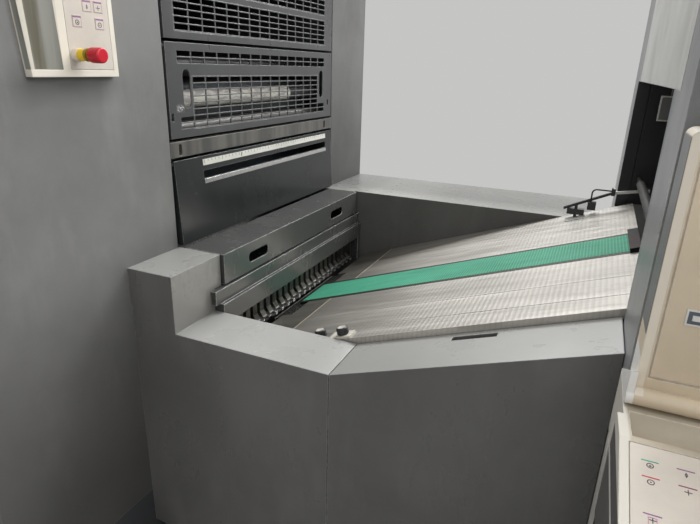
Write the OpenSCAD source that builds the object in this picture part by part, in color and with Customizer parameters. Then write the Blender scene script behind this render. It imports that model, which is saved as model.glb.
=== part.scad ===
// Infeed section of a sheetfed offset press: first printing unit, feed board and feeder.
// X runs from the unit's feeder side towards the feeder, Y towards the drive side, Z up.

/* [Printing unit] */
// Length of the unit along the press
unit_len = 1150; // [900:10:1400]
// Height of the unit's housings
unit_top = 2100; // [2000:10:2300]
// Centre line to the operator-side edge of the opening
jamb_os = 530; // [480:5:580]
// Centre line to the drive-side edge of the opening
jamb_ds = 600; // [560:5:650]
// Outside face of the operator-side housing from the centre line
unit_os_y = 1234; // [1000:2:1400]
// Outside face of the drive-side housing from the centre line
unit_ds_y = 990; // [860:5:1200]
// Thickness of the cast side frames
frame_t = 60; // [40:1:80]
// Depth of the housing's return that frames the opening
return_t = 30; // [26:1:45]
// Height of the cast bed
bed_h = 220; // [120:5:300]
// Radius of the housings' upright edges
edge_r = 8; // [6:1:14]

/* [Guards] */
// Sheet thickness of the guards
guard_t = 4; // [3:0.5:6]
// Depth of the guards' turned-in rims
rim_d = 25; // [22:1:28]
// Gap between two guards
guard_gap = 10; // [8:0.5:14]
// Distance of a guard's pivot from its face and its top edge
pivot_in = 10; // [9:0.5:12]
// Radius of the guards' pivot pins
pivot_r = 5; // [3:0.5:6]
// Height of the top edge of the upper guard
upper_guard_top = 1990; // [1900:5:1995]
// Height of the joint between the upper guard and the plate guard
upper_guard_bottom = 1654; // [1600:1:1700]
// Top of the cross rail under the plate guard
rail_top = 1354; // [1320:1:1390]
// Height of the cross rail
rail_h = 48; // [30:1:60]
// Width of the grip slots beside the grille
grip_w = 36; // [30:1:40]
// Height of the grip slots
grip_h = 115; // [90:1:120]
// Bottom edge of the blanket guard
blanket_guard_bottom = 1026; // [1026:1:1060]
// How far the blanket guard's lower edge stands out
blanket_guard_lean = 15; // [5:1:20]
// Height of the window in the blanket guard
window_h = 26; // [16:1:34]
// Columns of slots in the grilles
grille_cols = 15; // [8:1:20]
// Width of the bars between the slots
grille_bar = 4; // [3:0.5:6]
// Height of one grille slot
slot_h = 16; // [10:0.5:17]
// Distance from one grille row to the next
slot_pitch = 19.7; // [19:0.1:21]

/* [Cylinders and rollers] */
// Radius of the plate cylinder
plate_r = 135; // [115:1:140]
// Radius of the blanket cylinder
blanket_r = 135; // [115:1:140]
// Radius of the impression cylinder, twice the size of the others
impression_r = 270; // [230:2:280]
// Gap left between neighbouring cylinders and rollers
nip_gap = 6; // [5:0.5:10]
// Radius of the cylinders' journals
journal_r = 45; // [30:1:55]
// Radius of the pale damping roller
damping_r = 28; // [20:1:32]
// Radius of the chrome metering roller
metering_r = 22; // [16:1:26]
// Radius of the ink form roller
form_r = 34; // [25:1:40]
// Radius of the rollers' journals
roller_journal_r = 12; // [8:1:14]
// Place of the plate cylinder's axis behind the guards
plate_x = 235; // [225:1:260]
// Height of the plate cylinder's axis
plate_z = 1420; // [1410:1:1440]

/* [Feed board] */
// Rise of the board for each unit of length
board_rise = 0.35; // [0.3:0.01:0.4]
// Height of the board's plane at the unit's face
board_z0 = 632; // [600:1:660]
// Where the board's front end lies
board_x0 = 225; // [215:1:240]
// Where the front plate meets the board
front_plate_x1 = 362; // [340:1:400]
// Thickness of the board
board_t = 25; // [18:1:40]
// Centre line to the board's operator-side edge
board_os = 560; // [520:1:600]
// Centre line to the board's drive-side edge
board_ds = 549; // [520:1:590]
// Width of the suction belt
belt_w = 190; // [120:2:220]
// Offset of the belt's centre towards the operator side
belt_off = 17; // [0:1:40]
// Width of the rail on each side of the belt
belt_rail_w = 20; // [10:1:30]
// Width of the perforated strip in front of the belt
strip_w = 490; // [300:2:600]
// Width of a front lay
lay_w = 26; // [18:1:30]
// Distance from one front lay to the next
lay_pitch = 44; // [40:1:60]
// Diameter of a side lay knob
knob_d = 36; // [24:1:44]
// Height of a side lay knob
knob_h = 27; // [20:1:40]

/* [Infeed covers] */
// Height of the ledge, the post and the drive-side cover
cover_top = 1020; // [1010:1:1020]
// Height of the low operator-side cover
low_top = 842; // [800:1:870]
// Depth of the ledge from the unit's face
ledge_d = 173; // [170:1:190]
// Height of the ledge's front skirt
skirt_h = 100; // [90:1:105]
// Width of the hand holes in the ledge
hand_w = 124; // [90:1:140]
// Height of the hand holes in the ledge
hand_h = 36; // [26:1:44]
// Length of the post along the press
post_len = 160; // [120:1:165]
// Where the low cover meets the sloping cover
seam_x = 655; // [500:5:800]
// Outside face of the operator-side covers from the centre line
cover_os_y = 751; // [700:1:780]
// Inside face of the operator-side covers from the centre line
cover_os_in = 563; // [563:1:610]
// Inside face of the drive-side cover from the centre line
cover_ds_in = 552; // [552:1:600]
// Length of the drive-side cover
cover_ds_len = 1220; // [1000:5:1300]
// Height of the kick recess under the covers
plinth_h = 90; // [60:5:120]
// Depth of the kick recess
plinth_in = 40; // [20:1:60]

/* [Feeder] */
// Place of the feeder's press-side face
feeder_x = 1307; // [1250:1:1400]
// Length of the feeder
feeder_len = 1400; // [1200:10:1700]
// Height of the feeder
feeder_top = 1900; // [1700:5:2000]
// Outside of the feeder's operator-side frame from the centre line
feeder_os_out = 838; // [800:1:900]
// Inside of the feeder's operator-side frame from the centre line
feeder_os_in = 580; // [570:1:620]
// Outside of the feeder's drive-side frame from the centre line
feeder_ds_out = 980; // [900:5:1100]
// Inside of the feeder's drive-side frame from the centre line
feeder_ds_in = 630; // [600:1:660]
// Underside of the feeder's cross cover
cross_z = 1567; // [1500:1:1600]
// Height of the feeder's base
feeder_base_h = 180; // [100:5:220]
// Length of the feeder's side panel and console
panel_len = 650; // [500:5:800]
// Outside face of the side panel from the centre line
panel_y = 940; // [930:1:950]
// Height of the side panel's top edge
panel_top = 1520; // [1400:5:1540]
// Outside face of the console from the centre line
console_y = 1240; // [1200:1:1260]
// Height of the shelf between the console and the side panel
console_z = 1075; // [1050:1:1090]

/* [Controls] */
// Underside of the control box on the housing
box_z = 1548; // [1500:1:1600]
// Height of the control box
box_h = 330; // [250:5:400]
// Width of the control box
box_w = 248; // [200:1:300]
// How far the control box stands out
box_d = 22; // [20:1:40]
// Diameter of the stop button's head
stop_d = 35; // [32:1:40]
// Travel of the stop button
stop_travel = 5; // [3:0.5:6]

/* [Hidden] */

// Radial play of a shaft in its bore, and small distances for joining and cutting solids
play = 0.05;
eps = 0.01;
cut = 5;

// Guards: side edges, pins and the place of each pivot
guard_y0 = -jamb_os + guard_gap;
guard_y1 = jamb_ds - guard_gap;
pin_in = 15;
plate_guard_top = upper_guard_bottom - guard_gap;
plate_guard_bottom = rail_top + guard_gap;
blanket_guard_top = rail_top - rail_h - guard_gap;

// Cylinder and roller axes, each set off its neighbour by the two radii and the nip gap
plate_c = [-plate_x, plate_z];
blanket_c = plate_c - (plate_r + blanket_r + nip_gap) * [sin(12), cos(12)];
impression_c = blanket_c - (blanket_r + impression_r + nip_gap) * [sin(26), cos(26)];
damping_c = plate_c + (plate_r + damping_r + nip_gap) * [cos(19), sin(19)];
metering_c = plate_c + (plate_r + metering_r + nip_gap) * [cos(-13), sin(-13)];
form_c = plate_c + (plate_r + form_r + nip_gap) * [cos(62), sin(62)];
body_side_gap = 20;
top_cover_h = 100;

// Board plane
slope = atan(board_rise);
board_x1 = feeder_x + 55;
function board_z(x) = board_z0 + board_rise * x;
// Distance along the slope of a point at the given x
function along(x) = x / cos(slope);
belt_y = -belt_off;
groove_w = belt_w + 2 * belt_rail_w;
groove_d = 6;
belt_x0 = board_x0 + 5;

// Step under the ledge, and the filling pieces that carry the ledge's pins
beam_x0 = 60;
beam_x1 = 165;
beam_z0 = 790;
step_z = 115;
step_d = 30;
sill_z = 46;
sill_d = 16;
ledge_gap = 5;
strip_top = cover_top - skirt_h - ledge_gap;
fill_os = 36;
fill_ds = 12;
ledge_x0 = 26;
ledge_y0 = -cover_os_in + fill_os + ledge_gap;
ledge_y1 = cover_ds_in - fill_ds - ledge_gap;
feeder_x1 = feeder_x + feeder_len;
seam = 3;

// Boxes from corner to corner, and rectangles with rounded corners
module box(a, b) { translate(a) cube(b - a); }
module round_rect(w, h, r) {
    translate([r, 0]) square([w - 2 * r, h]);
    translate([0, r]) square([w, h - 2 * r]);
    for (x = [r, w - r], y = [r, h - r]) translate([x, y]) circle(r, $fn = 32);
}
// A profile drawn in X and Z, drawn out along Y
module along_y(y0, y1) { translate([0, y1, 0]) rotate([90, 0, 0]) linear_extrude(y1 - y0) children(); }
// A profile drawn in Y and Z, drawn out along X
module along_x(x0, x1) {
    translate([x0, 0, 0]) rotate([90, 0, 90]) linear_extrude(x1 - x0) children();
}
module rod_y(c, r, y0, y1) {
    translate([c[0], y1, c[1]]) rotate([90, 0, 0]) cylinder(r = r, h = y1 - y0, $fn = 64);
}
module on_board() { translate([0, 0, board_z0]) rotate([0, -slope, 0]) children(); }
// Pivot pins at both ends of a guard
module pivot_pins(c, y0, y1, gap) {
    rod_y(c, pivot_r, y0 - gap - pin_in, y0 + eps);
    rod_y(c, pivot_r, y1 - eps, y1 + gap + pin_in);
}
// A shallow groove round a door, on a face across Y whose outside lies on side s
module shut_line(x0, x1, z0, z1, y, s) {
    a = min(y - s * seam, y + s * cut);
    b = max(y - s * seam, y + s * cut);
    difference() {
        box([x0, a, z0], [x1, b, z1]);
        box([x0 + seam, a - 1, z0 + seam], [x1 - seam, b + 1, z1 - seam]);
    }
}
module pivot_holes(c, y0, y1, gap) {
    rod_y(c, pivot_r + play, y0 - gap - pin_in - 1, y0);
    rod_y(c, pivot_r + play, y1, y1 + gap + pin_in + 1);
}
upper_pivot = [-pivot_in, upper_guard_top - pivot_in];
plate_pivot = [-pivot_in, plate_guard_top - pivot_in];
blanket_pivot = [-pivot_in, blanket_guard_top - pivot_in];
ledge_pivot = [ledge_x0 + pivot_in, cover_top - pivot_in];
module guard_holes() {
    for (c = [upper_pivot, plate_pivot, blanket_pivot]) pivot_holes(c, guard_y0, guard_y1, guard_gap);
}

// Printing unit
bed_in = 40;
bed_end = 20;
module unit_bed() {
    color("dimgray") {
        box([-unit_len + bed_end, -unit_os_y + bed_in, 0], [0, unit_ds_y - bed_in, bed_h]);
        box([-eps, -cover_os_in + bed_end, 0], [beam_x1, cover_ds_in - bed_end, bed_h]);
    }
}
module side_frame(y0, y1) {
    color([0.3, 0.32, 0.34]) difference() {
        along_y(y0, y1) difference() {
            polygon([[-unit_len + return_t, bed_h], [-return_t, bed_h], [-return_t, unit_top - top_cover_h],
                [-unit_len + return_t, unit_top - top_cover_h]]);
            translate(plate_c) circle(journal_r + play, $fn = 64);
            translate(blanket_c) circle(journal_r + play, $fn = 64);
            translate(impression_c) circle(journal_r + play, $fn = 64);
            for (c = [damping_c, metering_c, form_c])
                translate(c) circle(roller_journal_r + play, $fn = 48);
        }
    }
}
module os_side_frame() { side_frame(-jamb_os - frame_t, -jamb_os); }
module ds_side_frame() { side_frame(jamb_ds, jamb_ds + frame_t); }
module corner_cut(x, y, r, sx, sy) {
    translate([x, y]) scale([sx, sy]) difference() {
        translate([-r, -r]) square(r + 1);
        translate([-r, -r]) circle(r, $fn = 64);
    }
}
jamb_r = 4;
module housing_plan(inner, outer) {
    difference() {
        union() {
            translate([-unit_len, inner + frame_t]) square([unit_len, outer - inner - frame_t]);
            translate([-return_t, inner]) square([return_t, frame_t + eps]);
            translate([-unit_len, inner]) square([return_t, frame_t + eps]);
        }
        corner_cut(0, outer, edge_r, 1, 1);
        corner_cut(-unit_len, outer, edge_r, -1, 1);
        corner_cut(0, inner, jamb_r, 1, -1);
    }
}
// A service door's shut line and its recessed pull on a housing's outer side
door_in = 90;
door_z = 70;
door_top = 160;
pull_w = 30;
pull_h = 130;
pull_d = 12;
pull_z = 1050;
module service_door(y, s) {
    shut_line(-unit_len + door_in, -door_in, bed_h + door_z, unit_top - door_top, y, s);
    translate([-door_in - 2 * pull_w, y - s * pull_d, pull_z]) rotate([s * -90, 0, 0])
        linear_extrude(pull_d + cut) translate([0, s * -pull_h]) round_rect(pull_w, pull_h, pull_w / 2 - 1);
}
module os_housing() {
    color([0.27, 0.28, 0.3]) difference() {
        translate([0, 0, bed_h]) linear_extrude(unit_top - bed_h) mirror([0, 1])
            housing_plan(jamb_os, unit_os_y);
        guard_holes();
        service_door(-unit_os_y, -1);
    }
}
module ds_housing() {
    color([0.27, 0.28, 0.3]) difference() {
        translate([0, 0, bed_h]) linear_extrude(unit_top - bed_h) housing_plan(jamb_ds, unit_ds_y);
        guard_holes();
        service_door(unit_ds_y, 1);
    }
}
module unit_top_cover() {
    color([0.27, 0.28, 0.3]) {
        box([-unit_len + return_t, -jamb_os - frame_t, unit_top - top_cover_h],
            [-return_t, jamb_ds + frame_t, unit_top]);
        box([-unit_len, -jamb_os, unit_top - top_cover_h], [0, jamb_ds, unit_top]);
    }
}
module unit_rear_cover() {
    color([0.3, 0.31, 0.33])
        box([-unit_len, -jamb_os, bed_h], [-unit_len + guard_t, jamb_ds, unit_top - top_cover_h]);
}

// Guards
// A sheet panel with turned-in rims on all four sides
module guard_panel(z0, z1) {
    difference() {
        box([-rim_d, guard_y0, z0], [0, guard_y1, z1]);
        box([-rim_d - cut, guard_y0 + guard_t, z0 + guard_t], [-guard_t, guard_y1 - guard_t, z1 - guard_t]);
    }
}
// The columns of slots share one grid, and each block of slots takes some columns and rows of it
grid_y0 = guard_y0 + 49;
grid_y1 = guard_y1 - 73;
col_pitch = (grid_y1 - grid_y0 + grille_bar) / grille_cols;
row_bar = slot_pitch - slot_h;
module slots(first, last, z0, rows) {
    for (i = [first : last], j = [0 : rows - 1])
        box([-guard_t - cut, grid_y0 + i * col_pitch, z0 + j * slot_pitch],
            [cut, grid_y0 + (i + 1) * col_pitch - grille_bar, z0 + j * slot_pitch + slot_h]);
}
// The window that a slotted plate closes, deep for a cut and thin for the plate itself
module grille_window(first, last, z0, rows, back, front) {
    box([-guard_t - back, grid_y0 + first * col_pitch - grille_bar, z0 - row_bar],
        [front, grid_y0 + (last + 1) * col_pitch, z0 + rows * slot_pitch]);
}
module grille(first, last, z0, rows) {
    difference() {
        grille_window(first, last, z0, rows, 0, 0);
        slots(first, last, z0, rows);
    }
}
last_col = grille_cols - 1;
block_rows = 5;
low_block_z = upper_guard_bottom + 25;
high_block_z = upper_guard_bottom + 147;
module upper_guard() {
    color([0.24, 0.25, 0.27]) {
        difference() {
            guard_panel(upper_guard_bottom, upper_guard_top);
            for (z = [low_block_z, high_block_z]) grille_window(0, last_col, z, block_rows, cut, cut);
        }
        pivot_pins(upper_pivot, guard_y0, guard_y1, guard_gap);
    }
}
module upper_guard_grilles() {
    color([0.24, 0.25, 0.27]) for (z = [low_block_z, high_block_z]) grille(0, last_col, z, block_rows);
}
grille_z0 = plate_guard_bottom + 27;
grille_rows = 8;
wide_rows = 2;
top_rows = 2;
top_rows_z = plate_guard_top - 59;
grip_z0 = plate_guard_bottom + 89;
grip_os = grid_y0 + 37;
grip_ds = grid_y1 - 31;
lock_w = 13;
lock_h = 24;
lock_z = plate_guard_bottom + 52;
lock_os = guard_y0 + 6;
lock_ds = guard_y1 - 40;
module grip_slot(y) {
    translate([-guard_t - cut, y - grip_w / 2, grip_z0]) rotate([90, 0, 90]) linear_extrude(guard_t + 2 * cut)
        round_rect(grip_w, grip_h, grip_w / 2 - eps);
}
module plate_guard() {
    color([0.24, 0.25, 0.27]) {
        difference() {
            guard_panel(plate_guard_bottom, plate_guard_top);
            grille_window(1, last_col - 1, grille_z0, grille_rows, cut, cut);
            slots(0, 0, grille_z0, wide_rows);
            slots(last_col, last_col, grille_z0, wide_rows);
            slots(0, last_col, top_rows_z, top_rows);
            for (y = [grip_os, grip_ds]) grip_slot(y);
            for (y = [lock_os, lock_ds])
                box([-guard_t - cut, y, lock_z], [cut, y + lock_w, lock_z + lock_h]);
        }
        pivot_pins(plate_pivot, guard_y0, guard_y1, guard_gap);
    }
}
module plate_guard_grille() {
    color([0.24, 0.25, 0.27]) grille(1, last_col - 1, grille_z0, grille_rows);
}
// Fixed rail with an upright lock slot at each end
rail_slot_w = 17;
rail_slot_h = rail_h - 12;
rail_slot_d = 12;
rail_slot_os = -jamb_os + 37;
rail_slot_ds = jamb_ds - 84;
rail_slot_z = rail_top - rail_h + 5;
module guard_cross_rail() {
    color([0.25, 0.26, 0.28]) difference() {
        box([-return_t, -jamb_os, rail_top - rail_h], [0, jamb_ds, rail_top]);
        for (y = [rail_slot_os, rail_slot_ds]) translate([-rail_slot_d, y, rail_slot_z])
            rotate([90, 0, 90]) linear_extrude(rail_slot_d + cut)
                round_rect(rail_slot_w, rail_slot_h, rail_slot_w / 2 - eps);
    }
}
// The blanket guard leans out towards its lower edge
window_z1 = blanket_guard_top - 48;
window_z0 = window_z1 - window_h;
window_y0 = guard_y0 + 137;
window_y1 = guard_y1 - 60;
scale_gap = 17;
scale_h = 20;
scale_t = 2;
bar_gap = 2;
bar_h = 15;
bar_t = 3;
function lean_x(z) =
    blanket_guard_lean * (blanket_guard_top - z) / (blanket_guard_top - blanket_guard_bottom);
module blanket_guard() {
    color([0.26, 0.27, 0.29]) {
        difference() {
            along_y(guard_y0, guard_y1) polygon([[-rim_d, blanket_guard_bottom],
                [blanket_guard_lean, blanket_guard_bottom], [0, blanket_guard_top],
                [-rim_d, blanket_guard_top]]);
            along_y(guard_y0 + guard_t, guard_y1 - guard_t) polygon([
                [-rim_d - cut, blanket_guard_bottom + guard_t],
                [blanket_guard_lean - guard_t, blanket_guard_bottom + guard_t],
                [-guard_t, blanket_guard_top - guard_t], [-rim_d - cut, blanket_guard_top - guard_t]]);
            box([-guard_t - cut, window_y0, window_z0], [cut + blanket_guard_lean, window_y1, window_z1]);
        }
        pivot_pins(blanket_pivot, guard_y0, guard_y1, guard_gap);
    }
}
// A strip of the given thickness that lies on the leaning face
module face_strip(y0, y1, z0, z1, t) {
    along_y(y0, y1) polygon([[lean_x(z0), z0], [lean_x(z0) + t, z0], [lean_x(z1) + t, z1], [lean_x(z1), z1]]);
}
module scale_strip() {
    z = window_z1 + scale_gap;
    color("whitesmoke") face_strip(window_y0, window_y1, z, z + scale_h, scale_t);
}
module window_bar() {
    z = window_z0 - bar_gap - bar_h;
    color("silver") face_strip(window_y0, window_y1, z, z + bar_h, bar_t);
}

// Ledge over the front lays
hand_z = cover_top - skirt_h + 47;
hand_os = -324;
hand_ds = 314;
module hand_hole(y) {
    translate([ledge_d - guard_t - cut, y, hand_z]) rotate([90, 0, 90]) linear_extrude(guard_t + 2 * cut) {
        square([hand_w - hand_h, hand_h], center = true);
        for (s = [-1, 1]) translate([s * (hand_w - hand_h) / 2, 0]) circle(hand_h / 2, $fn = 48);
    }
}
module front_lay_guard() {
    color([0.3, 0.31, 0.33]) {
        difference() {
            box([ledge_x0, ledge_y0, cover_top - skirt_h], [ledge_d, ledge_y1, cover_top]);
            box([ledge_x0 - cut, ledge_y0 + guard_t, cover_top - skirt_h - cut],
                [ledge_d - guard_t, ledge_y1 - guard_t, cover_top - guard_t]);
            box([ledge_x0 - cut, ledge_y0 - cut, cover_top - skirt_h - cut],
                [ledge_x0 + 60, ledge_y1 + cut, cover_top - 2 * pivot_in]);
            hand_hole(hand_os);
            hand_hole(hand_ds);
        }
        pivot_pins(ledge_pivot, ledge_y0, ledge_y1, ledge_gap);
    }
}
// Box beam behind the ledge, with a sill and a step on its front face and a cheek at its far end
cheek_in = 32;
cheek_t = 8;
cheek_z0 = 690;
sill_past = 20;
module lay_beam() {
    color([0.32, 0.33, 0.34]) {
        along_y(-cover_os_in, cover_ds_in) polygon([[beam_x0, beam_z0], [beam_x1, beam_z0],
            [beam_x1 + step_d, strip_top - step_z], [beam_x1 + step_d, strip_top - sill_z],
            [beam_x1 + sill_d, strip_top - sill_z], [beam_x1 + sill_d, strip_top], [beam_x0, strip_top]]);
        box([post_len + 1, -cover_os_in - sill_past, strip_top - sill_z],
            [beam_x1 + sill_d, -cover_os_in + eps, strip_top]);
        box([beam_x1 - cheek_t, cover_ds_in - cheek_in, cheek_z0],
            [beam_x1 + step_d, cover_ds_in - cheek_in + cheek_t, strip_top - step_z + eps]);
    }
}
// Fingers with up-turned toes that stop the sheet's front edge
lay_count = floor((cover_os_in + cover_ds_in - cheek_in - 60) / lay_pitch);
function lay_y(i) = -cover_os_in + 30 + i * lay_pitch;
toe_x = beam_x1 + step_d;
toe_z = 700;
toe_edge = [12, 8];
stop_face = 14;
lay_root_x = beam_x0 + 50;
lay_front_x = beam_x1 - 2;
neck_z = [36, 15];
neck_x = beam_x1 + 12;
heel_x = beam_x1 - 20;
heel_rise = 40;
module front_lays() {
    color([0.5, 0.5, 0.5]) for (i = [0 : lay_count - 1]) along_y(lay_y(i), lay_y(i) + lay_w)
        polygon([[lay_root_x, beam_z0], [lay_front_x, beam_z0], [lay_front_x, toe_z + neck_z[0]],
            [neck_x, toe_z + neck_z[1]], [toe_x, toe_z + toe_edge[1] + stop_face],
            [toe_x, toe_z + toe_edge[1]], [toe_x - toe_edge[0], toe_z], [heel_x, toe_z],
            [heel_x - heel_rise / 2, toe_z + heel_rise]]);
}
// Hard pads on the toes
pad_t = 5;
pad_in = 5;
pad_edge = 1;
module lay_stops() {
    z = toe_z + toe_edge[1];
    color("silver") for (i = [0 : lay_count - 1]) box([toe_x, lay_y(i) + pad_in, z + pad_edge],
        [toe_x + pad_t, lay_y(i) + lay_w - pad_in, z + stop_face - pad_edge]);
}
lay_shaft_c = [beam_x0 + 70, toe_z + 4];
lay_shaft_r = 10;
module lay_shaft() { color("silver") rod_y(lay_shaft_c, lay_shaft_r, -cover_os_in, cover_ds_in); }

// Cylinders and rollers
// A body between the frames with journals in the frames' bores and a gap along its length
gap_turn = 40;
journal_in = 1;
module cylinder_body(c, r, gap_w, gap_d, tone) {
    color(tone) {
        difference() {
            rod_y(c, r, -jamb_os + body_side_gap, jamb_ds - body_side_gap);
            translate([c[0], 0, c[1]]) rotate([0, gap_turn, 0])
                box([r - gap_d, -jamb_os - cut, -gap_w / 2], [r + cut, jamb_ds + cut, gap_w / 2]);
        }
        rod_y(c, journal_r, -jamb_os - frame_t + journal_in, jamb_ds + frame_t - journal_in);
    }
}
module plate_cylinder() { cylinder_body(plate_c, plate_r, 50, 40, "silver"); }
module blanket_cylinder() { cylinder_body(blanket_c, blanket_r, 50, 40, [0.35, 0.42, 0.55]); }
module impression_cylinder() { cylinder_body(impression_c, impression_r, 90, 60, "silver"); }
module roller(c, r, tone) {
    color(tone) {
        rod_y(c, r, -jamb_os + body_side_gap, jamb_ds - body_side_gap);
        rod_y(c, roller_journal_r, -jamb_os - frame_t + journal_in, jamb_ds + frame_t - journal_in);
    }
}
module damping_roller() { roller(damping_c, damping_r, [0.85, 0.83, 0.75]); }
module metering_roller() { roller(metering_c, metering_r, "silver"); }
module ink_form_roller() { roller(form_c, form_r, [0.15, 0.15, 0.17]); }

// Thin control box on the operator-side housing, wider towards its top
box_y1 = -jamb_os - 194;
box_y0 = box_y1 - box_w;
box_lean = 0.078;
lip_h = 16;
rim_w = 8;
divider_y = box_y1 - 144;
divider_w = 20;
trough_d = 12;
trough_w = divider_y - divider_w - box_y0 - rim_w;
trough_r = (trough_w * trough_w / 4 + trough_d * trough_d) / (2 * trough_d);
pad_depth = 3;
pad_gap = 1;
pad_right = 14;
module control_pocket(gap, over) {
    box([box_d - pad_depth, divider_y + gap, box_z + lip_h + gap],
        [box_d + over, box_y1 - pad_right - gap, box_z + box_h - lip_h - gap]);
}
module control_box() {
    color([0.86, 0.83, 0.76]) difference() {
        along_x(0, box_d) polygon([[box_y1, box_z], [box_y0, box_z],
            [box_y0 - box_lean * box_h, box_z + box_h], [box_y1, box_z + box_h]]);
        intersection() {
            translate([box_d - trough_d + trough_r, box_y0 + rim_w + trough_w / 2, box_z])
                rotate([atan(box_lean / 2), 0, 0])
                    translate([0, 0, -cut]) cylinder(r = trough_r, h = box_h + 2 * cut, $fn = 96);
            box([0, box_y0 - box_w, box_z + lip_h], [2 * trough_r + box_d, divider_y, box_z + box_h - lip_h]);
        }
        control_pocket(0, cut);
    }
}
key_size = 26;
key_places = [[-111, 125], [-45, 123], [-78, 161], [-45, 161], [-111, 199], [-78, 199], [-45, 199],
    [-111, 237], [-78, 237]];
module control_keypad() {
    color([0.9, 0.88, 0.84]) {
        control_pocket(pad_gap, 0);
        for (k = key_places) translate([box_d - eps, box_y1 + k[0], box_z + k[1]])
            box([0, -key_size / 2, -key_size / 2], [1, key_size / 2, key_size / 2]);
    }
}
// Stop button: collar, yellow sleeve and ring fixed to the box, and the head that moves in them
stop_y = box_y1 - 126;
stop_z = box_z + 50;
collar_h = 17;
sleeve_h = 21;
ring_h = 6;
stop_base_h = collar_h + sleeve_h + ring_h;
stop_stem_r = 10;
stop_bore_x = box_d + 8;
collar_r = stop_d / 2 - 2.5;
sleeve_r = stop_d / 2 - 4;
head_x = box_d + stop_base_h + stop_travel + 6;
head_h = 32;
head_r = 5;
module rod_x(x0, x1, y, z, r) {
    translate([x0, y, z]) rotate([0, 90, 0]) cylinder(r = r, h = x1 - x0, $fn = 48);
}
module e_stop_base() {
    color("gold") difference() {
        union() {
            rod_x(box_d, box_d + collar_h, stop_y, stop_z, collar_r);
            rod_x(box_d, box_d + collar_h + sleeve_h, stop_y, stop_z, sleeve_r);
            rod_x(box_d + collar_h + sleeve_h, box_d + stop_base_h, stop_y, stop_z, collar_r);
        }
        rod_x(stop_bore_x, box_d + stop_base_h + cut, stop_y, stop_z, stop_stem_r + play);
    }
}
module e_stop_button() {
    color("red") {
        rod_x(stop_bore_x + 2 * stop_travel, head_x + 1, stop_y, stop_z, stop_stem_r);
        translate([head_x, stop_y, stop_z]) rotate([0, 90, 0]) rotate_extrude($fn = 64) {
            square([stop_d / 2 - head_r, head_h]);
            square([stop_d / 2, head_h - head_r]);
            translate([stop_d / 2 - head_r, head_h - head_r]) intersection() {
                circle(head_r, $fn = 32);
                square(head_r + 1);
            }
        }
    }
}

// Feed board
frame_beam_h = 90;
rail_in = 30;
frame_beam_w = 40;
beam_cross_w = 30;
function under_board(x) = board_z(x) - board_t / cos(slope);
module board_frame() {
    xa = board_x0 + 20;
    xb = feeder_x + 40;
    color([0.3, 0.31, 0.33]) {
        for (y = [-board_os + rail_in, board_ds - rail_in - frame_beam_w]) along_y(y, y + frame_beam_w)
            polygon([[xa, under_board(xa) - frame_beam_h], [xb, under_board(xb) - frame_beam_h],
                [xb, under_board(xb)], [xa, under_board(xa)]]);
        box([xa, -cover_os_in, under_board(board_x0) - frame_beam_h],
            [xa + beam_cross_w, cover_ds_in, under_board(board_x0) - 10]);
        box([xb - beam_cross_w, -feeder_os_in, under_board(feeder_x) - frame_beam_h],
            [xb, feeder_ds_in, under_board(feeder_x)]);
    }
}
seam_y = [-330, -468];
groove_x1 = board_x1 + cut;
module belt_groove() {
    box([along(board_x0) - cut, belt_y - groove_w / 2, -groove_d],
        [along(groove_x1), belt_y + groove_w / 2, cut]);
}
module feed_board() {
    color([0.82, 0.8, 0.74]) on_board() difference() {
        box([along(front_plate_x1), -board_os, -board_t], [along(board_x1), board_ds, 0]);
        belt_groove();
        for (y = seam_y) box([along(front_plate_x1) - cut, y - 1, -1], [along(groove_x1), y + 1, cut]);
    }
}
// The perforated strip lies deeper than the belt and reaches under its tip and past the plate's edge
strip_t = 6;
strip_x0 = board_x0 - 33;
strip_x1 = board_x0 + 43;
hole_r = 4;
hole_rows = 3;
hole_pitch = 24;
hole_start = [14.4, 16.8];
module strip_place(gap, top) {
    box([along(strip_x0) - gap, belt_y - strip_w / 2 - gap, -groove_d - strip_t],
        [along(strip_x1) + gap, belt_y + strip_w / 2 + gap, top]);
}
module board_front_plate() {
    color([0.4, 0.4, 0.4]) on_board() difference() {
        box([along(board_x0), -board_os, -board_t], [along(front_plate_x1), board_ds, 0]);
        belt_groove();
        strip_place(0.5, cut);
    }
}
module suction_strip() {
    color([0.1, 0.1, 0.1]) on_board() difference() {
        strip_place(0, -groove_d);
        for (i = [0 : floor(strip_w / hole_pitch) - 1], j = [0 : hole_rows - 1])
            translate([along(strip_x0) + hole_start[0] + hole_pitch * j,
                belt_y - strip_w / 2 + hole_start[1] + hole_pitch * i, -groove_d - strip_t - 1])
                cylinder(r = hole_r, h = strip_t + 2, $fn = 24);
    }
}
belt_proud = 1;
belt_end = board_x1 - 30;
module suction_belt() {
    color("mediumseagreen") on_board()
        box([along(belt_x0), belt_y - belt_w / 2, -groove_d],
            [along(belt_end), belt_y + belt_w / 2, belt_proud]);
}
module belt_rails() {
    color("gray") on_board() for (s = [-1, 1]) translate([0, belt_y + s * (belt_w + belt_rail_w) / 2, 0])
        box([along(belt_x0), -belt_rail_w / 2, -groove_d],
            [along(belt_end), belt_rail_w / 2, belt_proud / 2]);
}
head_top = 14;
module belt_head() {
    color([0.1, 0.1, 0.1]) on_board()
        box([along(belt_end), belt_y - groove_w / 2, -groove_d],
            [along(board_x1), belt_y + groove_w / 2, head_top]);
}
side_lay_y = -535;
side_lay_s = [560, 635.7];
side_lay_x0 = 450;
side_lay_w = 44;
side_lay_h = 6;
lay_pin_r = 6;
pin_floor = 1;
knob_lift = 0.5;
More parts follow.
